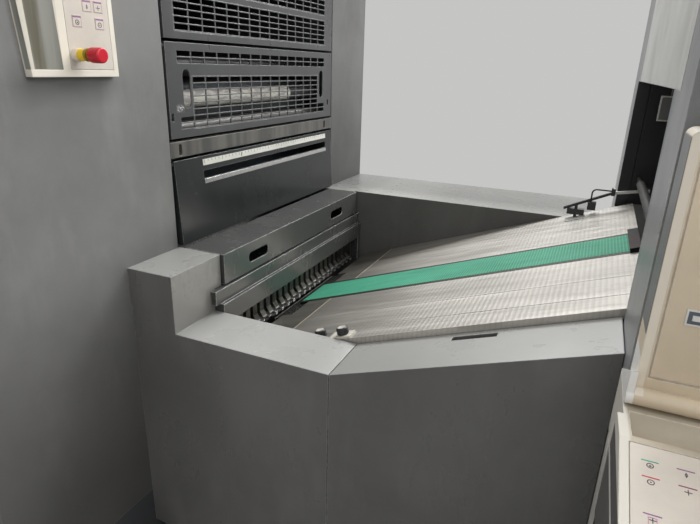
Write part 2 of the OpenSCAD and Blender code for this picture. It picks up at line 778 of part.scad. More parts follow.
module side_lay() {
    color([0.25, 0.25, 0.26]) on_board() difference() {
        box([along(side_lay_x0), side_lay_y - side_lay_w / 2, 0],
            [side_lay_s[1] + 30, side_lay_y + side_lay_w / 2, side_lay_h]);
        for (s = side_lay_s) translate([s, side_lay_y, pin_floor])
            cylinder(r = lay_pin_r + play, h = side_lay_h + cut, $fn = 32);
    }
}
module side_lay_knob(s) {
    color([0.1, 0.1, 0.1]) on_board() translate([s, side_lay_y, 0]) {
        translate([0, 0, side_lay_h + knob_lift]) rotate_extrude($fn = 64) polygon([[0, 0],
            [knob_d / 2 - 2, 0], [knob_d / 2, 3], [knob_d / 2 - 1, knob_h - side_lay_h - 3],
            [knob_d / 2 - 4, knob_h - side_lay_h], [0, knob_h - side_lay_h]]);
        translate([0, 0, pin_floor + knob_lift]) cylinder(r = lay_pin_r, h = side_lay_h, $fn = 32);
    }
}
module side_lay_knob_a() { side_lay_knob(side_lay_s[0]); }
module side_lay_knob_b() { side_lay_knob(side_lay_s[1]); }

// Covers round the board, with a kick recess below and a groove along each joint
module joint_groove(x, y, top) {
    box([x - seam / 2, y - cut, plinth_h - cut], [x + seam / 2, y + seam, top + cut]);
    box([x - seam / 2, y - cut, top - seam], [x + seam / 2, -cover_os_in + cut, top + cut]);
}
module infeed_cover_os() {
    color([0.27, 0.28, 0.3]) difference() {
        union() {
            along_y(-cover_os_y, -cover_os_in) polygon([[0, plinth_h], [seam_x, plinth_h], [seam_x, low_top],
                [post_len, low_top], [post_len, cover_top], [0, cover_top]]);
            box([0, -cover_os_y + plinth_in, 0], [seam_x, -cover_os_in, plinth_h + eps]);
            box([0, -cover_os_in - eps, strip_top + 1], [post_len, ledge_y0 - ledge_gap, cover_top]);
        }
        pivot_holes(ledge_pivot, ledge_y0, ledge_y1, ledge_gap);
        joint_groove(seam_x, -cover_os_y, low_top);
    }
}
feeder_joint = 2;
slope_x1 = feeder_x - feeder_joint;
finger_slot_set = 275;
finger_slot_x0 = seam_x + finger_slot_set;
finger_slot_len = 110;
finger_slot_w = 22;
finger_slot_in = 20;
finger_slot_z = 800;
module slope_cover_os() {
    color([0.27, 0.28, 0.3]) difference() {
        union() {
            along_y(-cover_os_y, -cover_os_in) polygon([[seam_x, plinth_h], [slope_x1, plinth_h],
                [slope_x1, low_top + board_rise * (slope_x1 - seam_x)], [seam_x, low_top]]);
            box([seam_x, -cover_os_y + plinth_in, 0], [slope_x1, -cover_os_in, plinth_h + eps]);
        }
        box([finger_slot_x0, -cover_os_in - finger_slot_in - finger_slot_w, finger_slot_z],
            [finger_slot_x0 + finger_slot_len, -cover_os_in - finger_slot_in, cover_top + cut]);
        joint_groove(seam_x, -cover_os_y, low_top);
    }
}
module infeed_cover_ds() {
    color([0.27, 0.28, 0.3]) difference() {
        union() {
            box([0, cover_ds_in, plinth_h], [cover_ds_len, unit_ds_y, cover_top]);
            box([0, cover_ds_in, 0], [cover_ds_len, unit_ds_y - plinth_in, plinth_h + eps]);
            box([0, ledge_y1 + ledge_gap, strip_top + 1], [post_len, cover_ds_in + eps, cover_top]);
        }
        pivot_holes(ledge_pivot, ledge_y0, ledge_y1, ledge_gap);
        shut_line(seam_x / 4, cover_ds_len - seam_x / 4, plinth_h + door_z, cover_top - door_z, unit_ds_y, 1);
    }
}

// Sheet sensor over the far part of the board: a shoe on the board, a block, and the arm that carries them
arm_y = 500;
arm_w = 12;
arm_t = 10;
arm_x0 = feeder_x - 195;
arm_x1 = feeder_x - 25;
arm_x2 = feeder_x + 101;
arm_bend_z = board_z(feeder_x) + 54;
arm_drop = 80;
arm_rise = 24;
arm_bevel = 2;
arm_cross_t = 13;
block_x0 = feeder_x - 182;
block_x1 = feeder_x - 117;
block_z = board_z(block_x1) + 1;
block_h = 22;
block_side = 10;
post_half = 6;
shoe_t = 2;
shoe_y0 = arm_y - 59;
shoe_y1 = arm_y + 5;
clamp_x0 = feeder_x - 109;
clamp_x1 = feeder_x - 78;
clamp_side = 6;
clamp_z = board_z(clamp_x1) + 13;
liner_y = feeder_ds_in - 27;
gland_x = feeder_x - 31;
gland_len = 14;
gland_side = 2;
gland_z0 = arm_bend_z - 3;
gland_z1 = arm_bend_z + 25;
cable_r = 3;
cable_y = arm_y - 6;
cable_bend = 16;
cable_x = clamp_x0 + 10;
cable_z = arm_bend_z + 15;
function arm_under(x) = arm_bend_z - arm_drop * (arm_x1 - x) / (arm_x1 - arm_x0);
cable_foot = arm_under(clamp_x0) + 3;
module sheet_sensor() {
    mid = (block_x0 + block_x1) / 2;
    arm_end_z = arm_bend_z + arm_rise;
    color([0.12, 0.12, 0.12]) {
        along_y(arm_y, arm_y + arm_w) polygon([[arm_x0, arm_under(arm_x0)], [arm_x1, arm_bend_z],
            [arm_x2, arm_end_z], [arm_x2, arm_end_z + arm_t], [arm_x1 - arm_bevel, arm_bend_z + arm_t],
            [arm_x0 - arm_bevel, arm_under(arm_x0) + arm_t]]);
        box([arm_x2 - arm_w, arm_y, arm_end_z + arm_t - arm_cross_t], [arm_x2, liner_y, arm_end_z + arm_t]);
        box([block_x0, arm_y - block_side, block_z],
            [block_x1, arm_y + arm_w + block_side, block_z + block_h]);
        along_y(arm_y, arm_y + arm_w) polygon([[mid - post_half, board_z(mid - post_half) + shoe_t / 2],
            [mid + post_half, board_z(mid + post_half) + shoe_t / 2], [mid + post_half, arm_under(mid) + eps],
            [mid - post_half, arm_under(mid) + eps]]);
        on_board() box([along(block_x0), shoe_y0, 0], [along(block_x1), shoe_y1, shoe_t]);
        box([clamp_x0, cable_y - clamp_side, clamp_z], [clamp_x1, arm_y + arm_w + clamp_side, cable_foot]);
        box([gland_x, cable_y - clamp_side, gland_z0],
            [gland_x + gland_len, arm_y + arm_w + gland_side, gland_z1]);
    }
}
// Short cable that stands up from the clamp and runs level into the gland on the arm
module sensor_cable() {
    color([0.05, 0.05, 0.05]) {
        translate([cable_x, cable_y, cable_foot])
            cylinder(r = cable_r, h = cable_z - cable_bend - cable_foot + eps, $fn = 24);
        translate([cable_x + cable_bend, cable_y, cable_z - cable_bend]) rotate([90, 0, 0])
            rotate([0, 0, 90]) rotate_extrude(angle = 90, $fn = 48)
                translate([cable_bend, 0]) circle(cable_r, $fn = 24);
        translate([cable_x + cable_bend - eps, cable_y, cable_z]) rotate([0, 90, 0])
            cylinder(r = cable_r, h = gland_x - cable_x - cable_bend + eps, $fn = 24);
    }
}

// Feeder
bridge_x1 = feeder_x + 100;
module feeder_base() {
    color([0.25, 0.26, 0.28]) linear_extrude(feeder_base_h) polygon([[feeder_x, -feeder_os_out],
        [feeder_x1, -feeder_os_out], [feeder_x1, -feeder_os_in], [bridge_x1, -feeder_os_in],
        [bridge_x1, feeder_ds_in], [feeder_x1, feeder_ds_in], [feeder_x1, feeder_ds_out],
        [feeder_x, feeder_ds_out]]);
}
cross_y0 = -694;
cross_gap = 8;
inner_chamfer = 15;
module feeder_os_frame() {
    color([0.62, 0.64, 0.66]) difference() {
        translate([0, 0, feeder_base_h]) linear_extrude(feeder_top - feeder_base_h) polygon([
            [feeder_x, -feeder_os_out], [feeder_x1, -feeder_os_out], [feeder_x1, -feeder_os_in],
            [feeder_x + inner_chamfer, -feeder_os_in], [feeder_x, -feeder_os_in - inner_chamfer]]);
        box([feeder_x - cut, cross_y0 - cross_gap, cross_z],
            [feeder_x1 + cut, -feeder_os_in + cut, feeder_top + cut]);
    }
}
module feeder_ds_frame() {
    color([0.62, 0.64, 0.66]) difference() {
        box([feeder_x, feeder_ds_in, feeder_base_h], [feeder_x1, feeder_ds_out, feeder_top]);
        shut_line(feeder_x + door_in, feeder_x1 - door_in, feeder_base_h + door_z, feeder_top - door_top,
            feeder_ds_out, 1);
    }
}
cover_joint_x = feeder_x + feeder_len / 2;
module feeder_cross_cover() {
    color([0.72, 0.73, 0.72]) difference() {
        box([feeder_x, cross_y0, cross_z], [feeder_x1, feeder_ds_in, feeder_top]);
        box([cover_joint_x - seam / 2, cross_y0 - cut, feeder_top - seam],
            [cover_joint_x + seam / 2, feeder_ds_in + cut, feeder_top + cut]);
    }
}
// Dark liners on the mouth's inner wall, and the bracket that hangs in the mouth
liner_z = board_z(feeder_x) - 11;
liner_split = feeder_x + 37;
liner_gap = 1.5;
liner_len = 400;
liner_step = 3;
liner_foot = 17;
front_liner_x0 = feeder_x - 6;
bracket_x = feeder_x + 5;
bracket_y = -300;
bracket_w = 33;
bracket_h = 59;
hanger_w = 12;
bracket_z = cross_z - 81;
module feeder_liners() {
    color([0.06, 0.06, 0.07]) {
        box([front_liner_x0, liner_y - liner_step, liner_z], [liner_split, feeder_ds_in, cross_z]);
        difference() {
            box([liner_split + liner_gap, liner_y, liner_z + liner_foot],
                [feeder_x + liner_len, feeder_ds_in, cross_z]);
            rod_y(pull_c, pull_shaft_r + play, liner_y - cut, feeder_ds_in + cut);
        }
        box([bracket_x, bracket_y, bracket_z],
            [bracket_x + bracket_w, bracket_y + guard_t, bracket_z + bracket_h]);
        box([bracket_x + bracket_w - hanger_w, bracket_y, bracket_z + bracket_h - eps],
            [bracket_x + bracket_w, bracket_y + guard_t, cross_z]);
    }
}
pull_c = [feeder_x + 63, board_z(feeder_x) + 110];
pull_r = 15;
pull_shaft_r = 8;
pull_y0 = -feeder_os_in + 20;
pull_y1 = feeder_ds_in - 160;
module pull_roller() {
    color("silver") {
        rod_y(pull_c, pull_r, pull_y0, pull_y1);
        rod_y(pull_c, pull_shaft_r, -feeder_os_in, feeder_ds_in);
    }
}
// Suction head over the pile: a beam on two hangers, with a row of suckers
head_set = 700;
head_at = feeder_x + head_set;
head_w = 90;
head_half = 300;
head_z = 1330;
head_beam_h = 70;
head_hanger_w = 40;
head_hanger_set = 60;
head_hanger_y = [-head_half + head_hanger_set, head_half - head_hanger_set - head_hanger_w];
head_hanger_in = 20;
sucker_h = 40;
sucker_pad_h = 12;
sucker_r = 15;
sucker_count = 6;
module suction_head() {
    color("silver") {
        box([head_at, -head_half, head_z], [head_at + head_w, head_half, head_z + head_beam_h]);
        for (y = head_hanger_y) box([head_at + head_hanger_in, y, head_z + head_beam_h - eps],
            [head_at + head_w - head_hanger_in, y + head_hanger_w, cross_z]);
        for (i = [0 : sucker_count - 1]) translate([head_at + head_w / 2,
            -head_half + head_half * (2 * i + 1) / sucker_count, head_z - sucker_h]) {
            cylinder(r = sucker_r / 2, h = sucker_h + 1, $fn = 32);
            cylinder(r = sucker_r, h = sucker_pad_h, $fn = 48);
        }
    }
}
pile_gap = 150;
pile_len = 750;
pile_x0 = feeder_x + pile_gap;
pile_x1 = pile_x0 + pile_len;
pile_z = feeder_base_h - 60;
pile_t = 40;
chain_w = 20;
chain_y0 = -feeder_os_in + chain_w;
chain_y1 = liner_y - 1.5 * chain_w;
module pile_board() {
    color("burlywood") box([pile_x0, chain_y0 + chain_w, pile_z], [pile_x1, chain_y1, pile_z + pile_t]);
}
module pile_chains() {
    color("gray") for (x = [pile_x0 + chain_w, pile_x1 - 2 * chain_w], y = [chain_y0, chain_y1])
        box([x, y, pile_z + 5], [x + chain_w, y + chain_w, cross_z]);
}
// Side panel with a door, a rolled ridge along its foot and a slanting latch plate at its end
panel_x1 = feeder_x + panel_len;
panel_z0 = console_z + feeder_joint;
panel_r = 14;
panel_back = 865;
panel_in = 25;
ridge_r = 15;
door_edge = 17;
door_foot = 47;
latch_t = 11;
latch_y0 = -panel_back + 23;
latch_y1 = -panel_y - 20;
latch_foot = [2, 5];
latch_h = 64;
ridge_out = 10;
module feeder_side_panel() {
    color([0.8, 0.75, 0.65]) {
        difference() {
            along_y(-panel_y, -panel_back) translate([feeder_x, panel_z0])
                round_rect(panel_len, panel_top - panel_z0, panel_r);
            shut_line(feeder_x + door_edge, panel_x1 - door_edge, panel_z0 + door_foot, panel_top - door_edge,
                -panel_y, -1);
        }
        box([feeder_x + panel_in, -panel_back - eps, panel_z0 + panel_in],
            [panel_x1 - panel_in, -feeder_os_out, panel_top - panel_in]);
        rod_x(feeder_x - latch_t, panel_x1, -panel_y - ridge_out, panel_z0 + ridge_r, ridge_r);
        along_x(feeder_x - latch_t, feeder_x + 1) polygon([[latch_y0, panel_z0 + latch_foot[0]],
            [latch_y0, panel_z0 + latch_foot[1]], [latch_y1, panel_z0 + latch_h],
            [latch_y1 - latch_foot[0], panel_z0 + ridge_r], [-panel_y, panel_z0 + latch_foot[0]]]);
    }
}
// Cabinet, set back at its foot and higher behind the console, with a bright edge strip
cabinet_y = console_y - 60;
cabinet_x0 = feeder_x - 7;
cabinet_top = console_z - 205;
shelf_y = console_y - 255;
shelf_z = console_z - 125;
edge_strip_y = [-panel_y + 43, -feeder_os_out - 11];
edge_strip_top = shelf_z - 5;
module feeder_cabinet() {
    color([0.3, 0.31, 0.32]) {
        along_x(cabinet_x0, panel_x1) polygon([[-feeder_os_out, 0], [-cabinet_y + plinth_in, 0],
            [-cabinet_y + plinth_in, plinth_h], [-cabinet_y, plinth_h], [-cabinet_y, cabinet_top],
            [-shelf_y, cabinet_top], [-shelf_y, shelf_z], [-feeder_os_out, shelf_z]]);
        box([cabinet_x0 - guard_t, edge_strip_y[0], plinth_h],
            [cabinet_x0 + eps, edge_strip_y[1], edge_strip_top]);
    }
}
// Console with a rounded trough behind its sloping keypad
console_x0 = feeder_x - 20;
keypad_rise = 28;
keypad_run = 178;
keypad_tilt = atan2(keypad_rise, keypad_run);
console_front_z = console_z + 8 - keypad_rise;
trough_y = -console_y + keypad_run + 49;
console_trough_r = 48;
console_trough_z = console_z + 28;
console_cheek = 18;
console_flare = 60;
console_joint = 5;
keypad_y = [8, 172];
keypad_len = 607;
module console_pocket(gap, over) {
    translate([0, -console_y, console_front_z]) rotate([keypad_tilt, 0, 0])
        box([cabinet_x0 + gap, keypad_y[0] + gap, -pad_depth],
            [cabinet_x0 + keypad_len - gap, keypad_y[1] - gap, over]);
}
module feeder_console() {
    color([0.85, 0.81, 0.72]) difference() {
        union() {
            along_x(console_x0, panel_x1) polygon([[-shelf_y, cabinet_top], [-cabinet_y, cabinet_top],
                [-console_y, cabinet_top + console_flare], [-console_y, console_front_z],
                [-console_y + keypad_run, console_front_z + keypad_rise], [-shelf_y, console_z]]);
            box([feeder_x - latch_t, -shelf_y - console_joint, shelf_z],
                [panel_x1, -feeder_os_out, console_z]);
        }
        rod_x(console_x0 + console_cheek, panel_x1 - console_cheek, trough_y, console_trough_z,
            console_trough_r);
        console_pocket(0, cut);
    }
}
module feeder_keypad() { color([0.88, 0.85, 0.8]) console_pocket(pad_gap, 0); }

unit_bed();
os_side_frame();
ds_side_frame();
os_housing();
ds_housing();
unit_top_cover();
unit_rear_cover();
upper_guard();
upper_guard_grilles();
plate_guard();
plate_guard_grille();
guard_cross_rail();
blanket_guard();
scale_strip();
window_bar();
front_lay_guard();
lay_beam();
front_lays();
lay_stops();
lay_shaft();
plate_cylinder();
blanket_cylinder();
impression_cylinder();
damping_roller();
metering_roller();
ink_form_roller();
control_box();
control_keypad();
e_stop_base();
e_stop_button();
board_frame();
feed_board();
board_front_plate();
suction_strip();
suction_belt();
belt_rails();
belt_head();
side_lay();
side_lay_knob_a();
side_lay_knob_b();
infeed_cover_os();
slope_cover_os();
infeed_cover_ds();
sheet_sensor();
sensor_cable();
feeder_base();
feeder_os_frame();
feeder_ds_frame();
feeder_cross_cover();
feeder_liners();
pull_roller();
suction_head();
pile_board();
pile_chains();
feeder_side_panel();
feeder_cabinet();
feeder_console();
feeder_keypad();
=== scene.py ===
import bpy, math
from mathutils import Matrix, Vector


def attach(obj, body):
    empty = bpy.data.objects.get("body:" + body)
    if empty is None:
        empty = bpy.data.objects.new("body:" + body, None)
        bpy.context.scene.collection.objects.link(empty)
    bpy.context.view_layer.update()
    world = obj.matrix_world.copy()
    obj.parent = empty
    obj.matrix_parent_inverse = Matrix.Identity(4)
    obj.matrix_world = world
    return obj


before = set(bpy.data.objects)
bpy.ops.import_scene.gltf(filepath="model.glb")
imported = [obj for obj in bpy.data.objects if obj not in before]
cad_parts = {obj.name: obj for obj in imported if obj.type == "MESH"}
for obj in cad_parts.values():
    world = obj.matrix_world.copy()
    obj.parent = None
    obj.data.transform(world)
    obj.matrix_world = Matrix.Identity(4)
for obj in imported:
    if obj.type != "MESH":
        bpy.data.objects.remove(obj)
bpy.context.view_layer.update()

scene = bpy.context.scene
EYE = (1.182, -1.856, 1.591)
YAW, PITCH, ROLL = math.radians(23.34), math.radians(19.72), math.radians(1.712)
SENSOR_WIDTH, LENS_PIXELS, PHOTO_WIDTH = 36, 546.3, 700
forward = Vector((-math.sin(YAW) * math.cos(PITCH), math.cos(YAW) * math.cos(PITCH), -math.sin(PITCH)))
level = Vector((math.cos(YAW), math.sin(YAW), 0))
upward = level.cross(forward)
picture_right = level * math.cos(ROLL) + upward * math.sin(ROLL)
picture_up = upward * math.cos(ROLL) - level * math.sin(ROLL)
camera = bpy.data.objects.new("camera", bpy.data.cameras.new("camera"))
scene.collection.objects.link(camera)
camera.matrix_world = Matrix([(picture_right[i], picture_up[i], -forward[i], EYE[i]) for i in range(3)]
                             + [(0, 0, 0, 1)])
camera.data.lens = SENSOR_WIDTH * LENS_PIXELS / PHOTO_WIDTH
camera.data.clip_start = 0.05
scene.camera = camera

# Studio light.
# Soft panels light the press from above: bright ones beyond the feeder and over the drive side, weak ones
# over the unit and by the operator. The pale background shows to the camera and in reflections.
scene.view_settings.view_transform = "Standard"
PALE = (0.56, 0.56, 0.55, 1)
FILL_STRENGTH = 0.8
world = bpy.data.worlds.new("studio")
scene.world = world
world.use_nodes = True


def seen(tree):
    """1 for the rays that show the background: camera, glossy and transmission rays."""
    path = tree.nodes.new("ShaderNodeLightPath")
    result = path.outputs["Is Camera Ray"]
    for name in ("Is Glossy Ray", "Is Transmission Ray"):
        larger = tree.nodes.new("ShaderNodeMath")
        larger.operation = "MAXIMUM"
        tree.links.new(result, larger.inputs[0])
        tree.links.new(path.outputs[name], larger.inputs[1])
        result = larger.outputs[0]
    return result


fill = world.node_tree.nodes["Background"]
fill.inputs[0].default_value = PALE
fill.inputs[1].default_value = FILL_STRENGTH
backdrop = world.node_tree.nodes.new("ShaderNodeBackground")
backdrop.inputs[0].default_value = PALE
blend = world.node_tree.nodes.new("ShaderNodeMixShader")
for source, socket in ((seen(world.node_tree), blend.inputs[0]), (fill.outputs[0], blend.inputs[1]),
                       (backdrop.outputs[0], blend.inputs[2]),
                       (blend.outputs[0], world.node_tree.nodes["World Output"].inputs[0])):
    world.node_tree.links.new(source, socket)


def soft_panel(name, place, target, width, depth, watts):
    light = bpy.data.lights.new(name, "AREA")
    light.shape, light.size, light.size_y = "RECTANGLE", width, depth
    light.energy = watts
    lamp = bpy.data.objects.new(name, light)
    scene.collection.objects.link(lamp)
    lamp.location = place
    lamp.rotation_euler = (Vector(target) - Vector(place)).to_track_quat("-Z", "Y").to_euler()
    lamp.visible_camera = False


soft_panel("feeder_panel", (9, 0.4, 6), (0, 0, 1.2), 6, 4.8, 680)
soft_panel("far_ceiling_panel", (0.6, 7.2, 8.3), (0.2, 0, 0.9), 10, 4, 1280)
soft_panel("aisle_panel", (2.5, -9, 5.2), (0.5, 0, 0.8), 8, 4, 150)
soft_panel("unit_panel", (-7.7, 0.4, 7.8), (1.3, 0, 1), 6, 4, 200)
high_sun = bpy.data.objects.new("high_sun", bpy.data.lights.new("high_sun", "SUN"))
scene.collection.objects.link(high_sun)
high_sun.data.energy, high_sun.data.angle = 0.7, 1.4
high_sun.rotation_euler = (-0.35, 0.1, 0)

# Floor.
# A plain pale floor with a faint cloudy tone. It keeps the press's shadow, and passes into the background
# a few metres out.
FLOOR_HALF = 14
FADE_START, FADE_END = 2.4, 5.0
floor_mesh = bpy.data.meshes.new("floor")
floor_mesh.from_pydata([(x * FLOOR_HALF, y * FLOOR_HALF, 0) for x, y in ((-1, -1), (1, -1), (1, 1), (-1, 1))],
                       [], [(0, 1, 2, 3)])
floor = bpy.data.objects.new("floor", floor_mesh)
scene.collection.objects.link(floor)


class Surface:
    """A Principled material whose nodes are added one call at a time."""

    def __init__(self, name, colour, rough, metal=0.0, specular=0.5):
        self.material = bpy.data.materials.new(name)
        self.material.use_nodes = True
        self.tree = self.material.node_tree
        self.shader = self.tree.nodes["Principled BSDF"]
        for key, value in (("Base Color", (*colour, 1)), ("Roughness", rough), ("Metallic", metal),
                           ("Specular IOR Level", specular)):
            self.shader.inputs[key].default_value = value
        self.colour, self.normal = None, None
        self.place = self.add("ShaderNodeTexCoord").outputs["Object"]
        split = self.add("ShaderNodeSeparateXYZ")
        self.feed(split.inputs[0], self.place)
        self.x, self.y, self.z = split.outputs

    def add(self, kind, **settings):
        node = self.tree.nodes.new(kind)
        for key, value in settings.items():
            setattr(node, key, value)
        return node

    def feed(self, socket, value):
        if hasattr(value, "is_linked"):
            self.tree.links.new(value, socket)
        else:
            socket.default_value = value

    def noise(self, scale, stretch=(1, 1, 1), detail=4.0, rough=0.55):
        mapping = self.add("ShaderNodeMapping")
        self.feed(mapping.inputs["Vector"], self.place)
        self.feed(mapping.inputs["Scale"], stretch)
        node = self.add("ShaderNodeTexNoise")
        for key, value in (("Scale", scale), ("Detail", detail), ("Roughness", rough),
                           ("Vector", mapping.outputs["Vector"])):
            self.feed(node.inputs[key], value)
        return node.outputs["Fac"]

    def math(self, kind, a, b=0.0, clamp=False):
        node = self.add("ShaderNodeMath", operation=kind, use_clamp=clamp)
        self.feed(node.inputs[0], a)
        self.feed(node.inputs[1], b)
        return node.outputs[0]

    def part(self, mask, share):
        """A mask at a share of its strength."""
        return self.math("MULTIPLY", mask, share)

    def ramp(self, value, low, high, out_low=0.0, out_high=1.0):
        node = self.add("ShaderNodeMapRange", clamp=True)
        for key, number in (("Value", value), ("From Min", low), ("From Max", high), ("To Min", out_low),
                            ("To Max", out_high)):
            self.feed(node.inputs[key], number)
        return node.outputs["Result"]

    def both(self, *masks):
        result = masks[0]
        for mask in masks[1:]:
            result = self.math("MULTIPLY", result, mask)
        return result

    def between(self, along, low, high, soft=0.0004):
        """1 between two places along an axis, in metres, with soft as half the width of each edge."""
        return self.both(self.ramp(along, low - soft, low + soft),
                         self.ramp(along, high - soft, high + soft, 1, 0))

    def waves(self, along, pitch):
        """A sine along an axis, from -1 to 1, with one wave for each pitch."""
        return self.math("SINE", self.math("MULTIPLY", along, 2 * math.pi / pitch))

    def against(self, vector, direction):
        """The dot product of two directions."""
        dot = self.add("ShaderNodeVectorMath", operation="DOT_PRODUCT")
        self.feed(dot.inputs[0], vector)
        self.feed(dot.inputs[1], direction)
        return dot.outputs["Value"]

    def facing(self, direction, low=0.6, high=0.95):
        """1 on the faces that look the given way."""
        face = self.add("ShaderNodeNewGeometry").outputs["Normal"]
        return self.ramp(self.against(face, direction), low, high)

    def paint(self, mask, colour):
        """Lays a colour over the colour so far where mask is 1."""
        node = self.add("ShaderNodeMix", data_type="RGBA")
        under = self.colour if self.colour is not None else self.shader.inputs["Base Color"].default_value
        for number, value in ((0, mask), (6, under), (7, (*colour, 1))):
            self.feed(node.inputs[number], value)
        self.colour = node.outputs[2]
        self.feed(self.shader.inputs["Base Color"], self.colour)

    def roughen(self, value, low, high, out_low, out_high):
        self.feed(self.shader.inputs["Roughness"], self.ramp(value, low, high, out_low, out_high))

    def bump(self, value, distance, strength=1.0):
        node = self.add("ShaderNodeBump")
        for key, setting in (("Distance", distance), ("Strength", strength), ("Height", value)):
            self.feed(node.inputs[key], setting)
        if self.normal is not None:
            self.feed(node.inputs["Normal"], self.normal)
        self.normal = node.outputs["Normal"]
        self.feed(self.shader.inputs["Normal"], self.normal)

    def rounded(self, radius):
        """Shades the edges as if they were rounded, and gives the mask of the edges."""
        soft = self.add("ShaderNodeBevel", samples=4)
        soft.inputs["Radius"].default_value = radius
        self.normal = soft.outputs["Normal"]
        self.feed(self.shader.inputs["Normal"], self.normal)
        face = self.add("ShaderNodeNewGeometry").outputs["Normal"]
        return self.ramp(self.against(self.normal, face), 0.985, 0.9)


pale = Surface("pale_floor", (0.4, 0.396, 0.387), 0.75)
pale.paint(pale.ramp(pale.noise(0.6), 0.3, 0.75), (0.44, 0.436, 0.427))
pale.bump(pale.noise(60), 0.002, 0.2)
away = pale.add("ShaderNodeVectorMath", operation="LENGTH")
pale.feed(away.inputs[0], pale.place)
glow = pale.add("ShaderNodeEmission")
glow.inputs[0].default_value = PALE
fade = pale.add("ShaderNodeMixShader")
pale.feed(fade.inputs[0], pale.both(seen(pale.tree), pale.ramp(away.outputs["Value"], FADE_START, FADE_END)))
pale.feed(fade.inputs[1], pale.shader.outputs[0])
pale.feed(fade.inputs[2], glow.outputs[0])
pale.feed(pale.tree.nodes["Material Output"].inputs[0], fade.outputs[0])
floor_mesh.materials.append(pale.material)

# Bed, side frames and the stands under the board and the feeder.
# Iron castings in dull dark paint. They stand on the floor and are bolted together, and the two side
# frames carry the cylinders in their bores.
UP = (0, 0, 1)
DUST_AND_TOP_LIGHT = (0.59, 0.59, 0.57)
DUST_AND_TOP_LIGHT_STEPS = ((0.18, 0.25, 0.85, 1.2), (0.45, 0.6, 1.0, 0.72), (0.95, 1.2, 1.0, 1.4))
CLOUD_SCALE, SMEAR_SCALE, TOP_FILM_SCALE, CHIP_SCALE = 2.3, 9.0, 5.0, 90.0
GRAIN_SCALE, DENT_SCALE = 700.0, 3.0


def shade(colour, share):
    return tuple(min(1, c * share) for c in colour)


def painted(name, colour, rough, edge_wear_and_highlight=(0.3, 0.3, 0.29), dust_and_top_light=0.0, specular=0.45, edge=0.003):
    """Paint with cloudy hand marks in its gloss, pale edges that are partly wear and partly painted
    highlights, and if asked for a pale film on the tops that is partly paper dust and partly painted light.
    """
    s = Surface(name, colour, rough, specular=specular)
    edges = s.rounded(edge)
    clouds = s.noise(CLOUD_SCALE, detail=5.0, rough=0.62)
    smears = s.noise(SMEAR_SCALE, (1, 1, 0.35), detail=5.0, rough=0.6)
    s.paint(s.ramp(clouds, 0.38, 0.66), shade(colour, 0.78))
    s.paint(s.part(s.ramp(smears, 0.52, 0.75), 0.3), shade(colour, 1.5))
    # The pale film on the tops is partly paper dust and partly painted light from above, stepped along the
    # covers and weaker on the drive side.
    if dust_and_top_light:
        film = s.ramp(s.noise(TOP_FILM_SCALE, (0.5, 1, 1)), 0.3, 0.7, dust_and_top_light * 0.9, dust_and_top_light)
        less_by_the_drive_side = s.ramp(s.y, 0.5, 0.7, 1.0, 0.35)
        along_the_cover = [s.ramp(s.x, start, end, before, after) for start, end, before, after in DUST_AND_TOP_LIGHT_STEPS]
        s.paint(s.both(s.facing(UP), s.both(film, less_by_the_drive_side, *along_the_cover)), DUST_AND_TOP_LIGHT)
    # The pale edges are partly worn paint and partly painted highlights along the rounded edges.
    chips_and_highlight = s.ramp(s.noise(CHIP_SCALE, detail=3.0), 0.36, 0.6, 0.35, 1.0)
    s.paint(s.both(edges, chips_and_highlight), edge_wear_and_highlight)
    hand_marks = s.math("ADD", s.part(clouds, 0.6), s.part(smears, 0.4))
    s.roughen(hand_marks, 0.35, 0.65, rough - 0.07, rough + 0.1)
    s.bump(s.noise(GRAIN_SCALE, detail=2.0), 0.0003, 0.2)
    s.bump(s.noise(DENT_SCALE, detail=2.0), 0.003, 0.1)
    return s


def dress(surface, *nodes):
    """Gives the named CAD pieces this surface."""
    for node in nodes:
        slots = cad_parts[node].data.materials
        slots.clear()
        slots.append(surface.material)


dress(painted("frame_paint", (0.07, 0.073, 0.078), 0.5, specular=0.3), "unit_bed", "os_side_frame",
      "ds_side_frame", "feeder_base", "board_frame")

# Cylinders.
# Cast iron bodies, ground to size. One carries the dark printing plate, one the blue-grey rubber blanket,
# and the impression cylinder keeps its bright ground face.


def ground(name, colour, rough, stretch):
    """Bare steel with the fine marks of the stone or the lathe."""
    s = Surface(name, colour, rough, metal=1.0)
    s.rounded(0.0015)
    marks = s.noise(60.0, stretch, detail=3.0)
    s.paint(s.ramp(marks, 0.35, 0.7), shade(colour, 0.75))
    s.roughen(marks, 0.3, 0.7, rough - 0.06, rough + 0.1)
    s.bump(marks, 0.0004, 0.2)
    return s


def moulded(name, colour, rough, edge=0.0015, specular=0.5):
    """Rubber, plastic or print of one colour with a slight grain."""
    s = Surface(name, colour, rough, specular=specular)
    s.rounded(edge)
    tone = s.noise(6.0, detail=4.0)
    s.paint(s.ramp(tone, 0.4, 0.7), shade(colour, 0.8))
    s.roughen(tone, 0.3, 0.7, rough - 0.08, rough + 0.08)
    s.bump(s.noise(400.0, detail=2.0), 0.0003, 0.4)
    return s


FINE_MARKS = (1, 1, 6)
dress(ground("plate_metal", (0.09, 0.095, 0.1), 0.45, FINE_MARKS), "plate_cylinder")
dress(moulded("blanket_rubber", (0.05, 0.07, 0.085), 0.6), "blanket_cylinder")
bright_steel = ground("ground_steel", (0.72, 0.72, 0.71), 0.2, (1, 12, 1))
dress(bright_steel, "impression_cylinder")

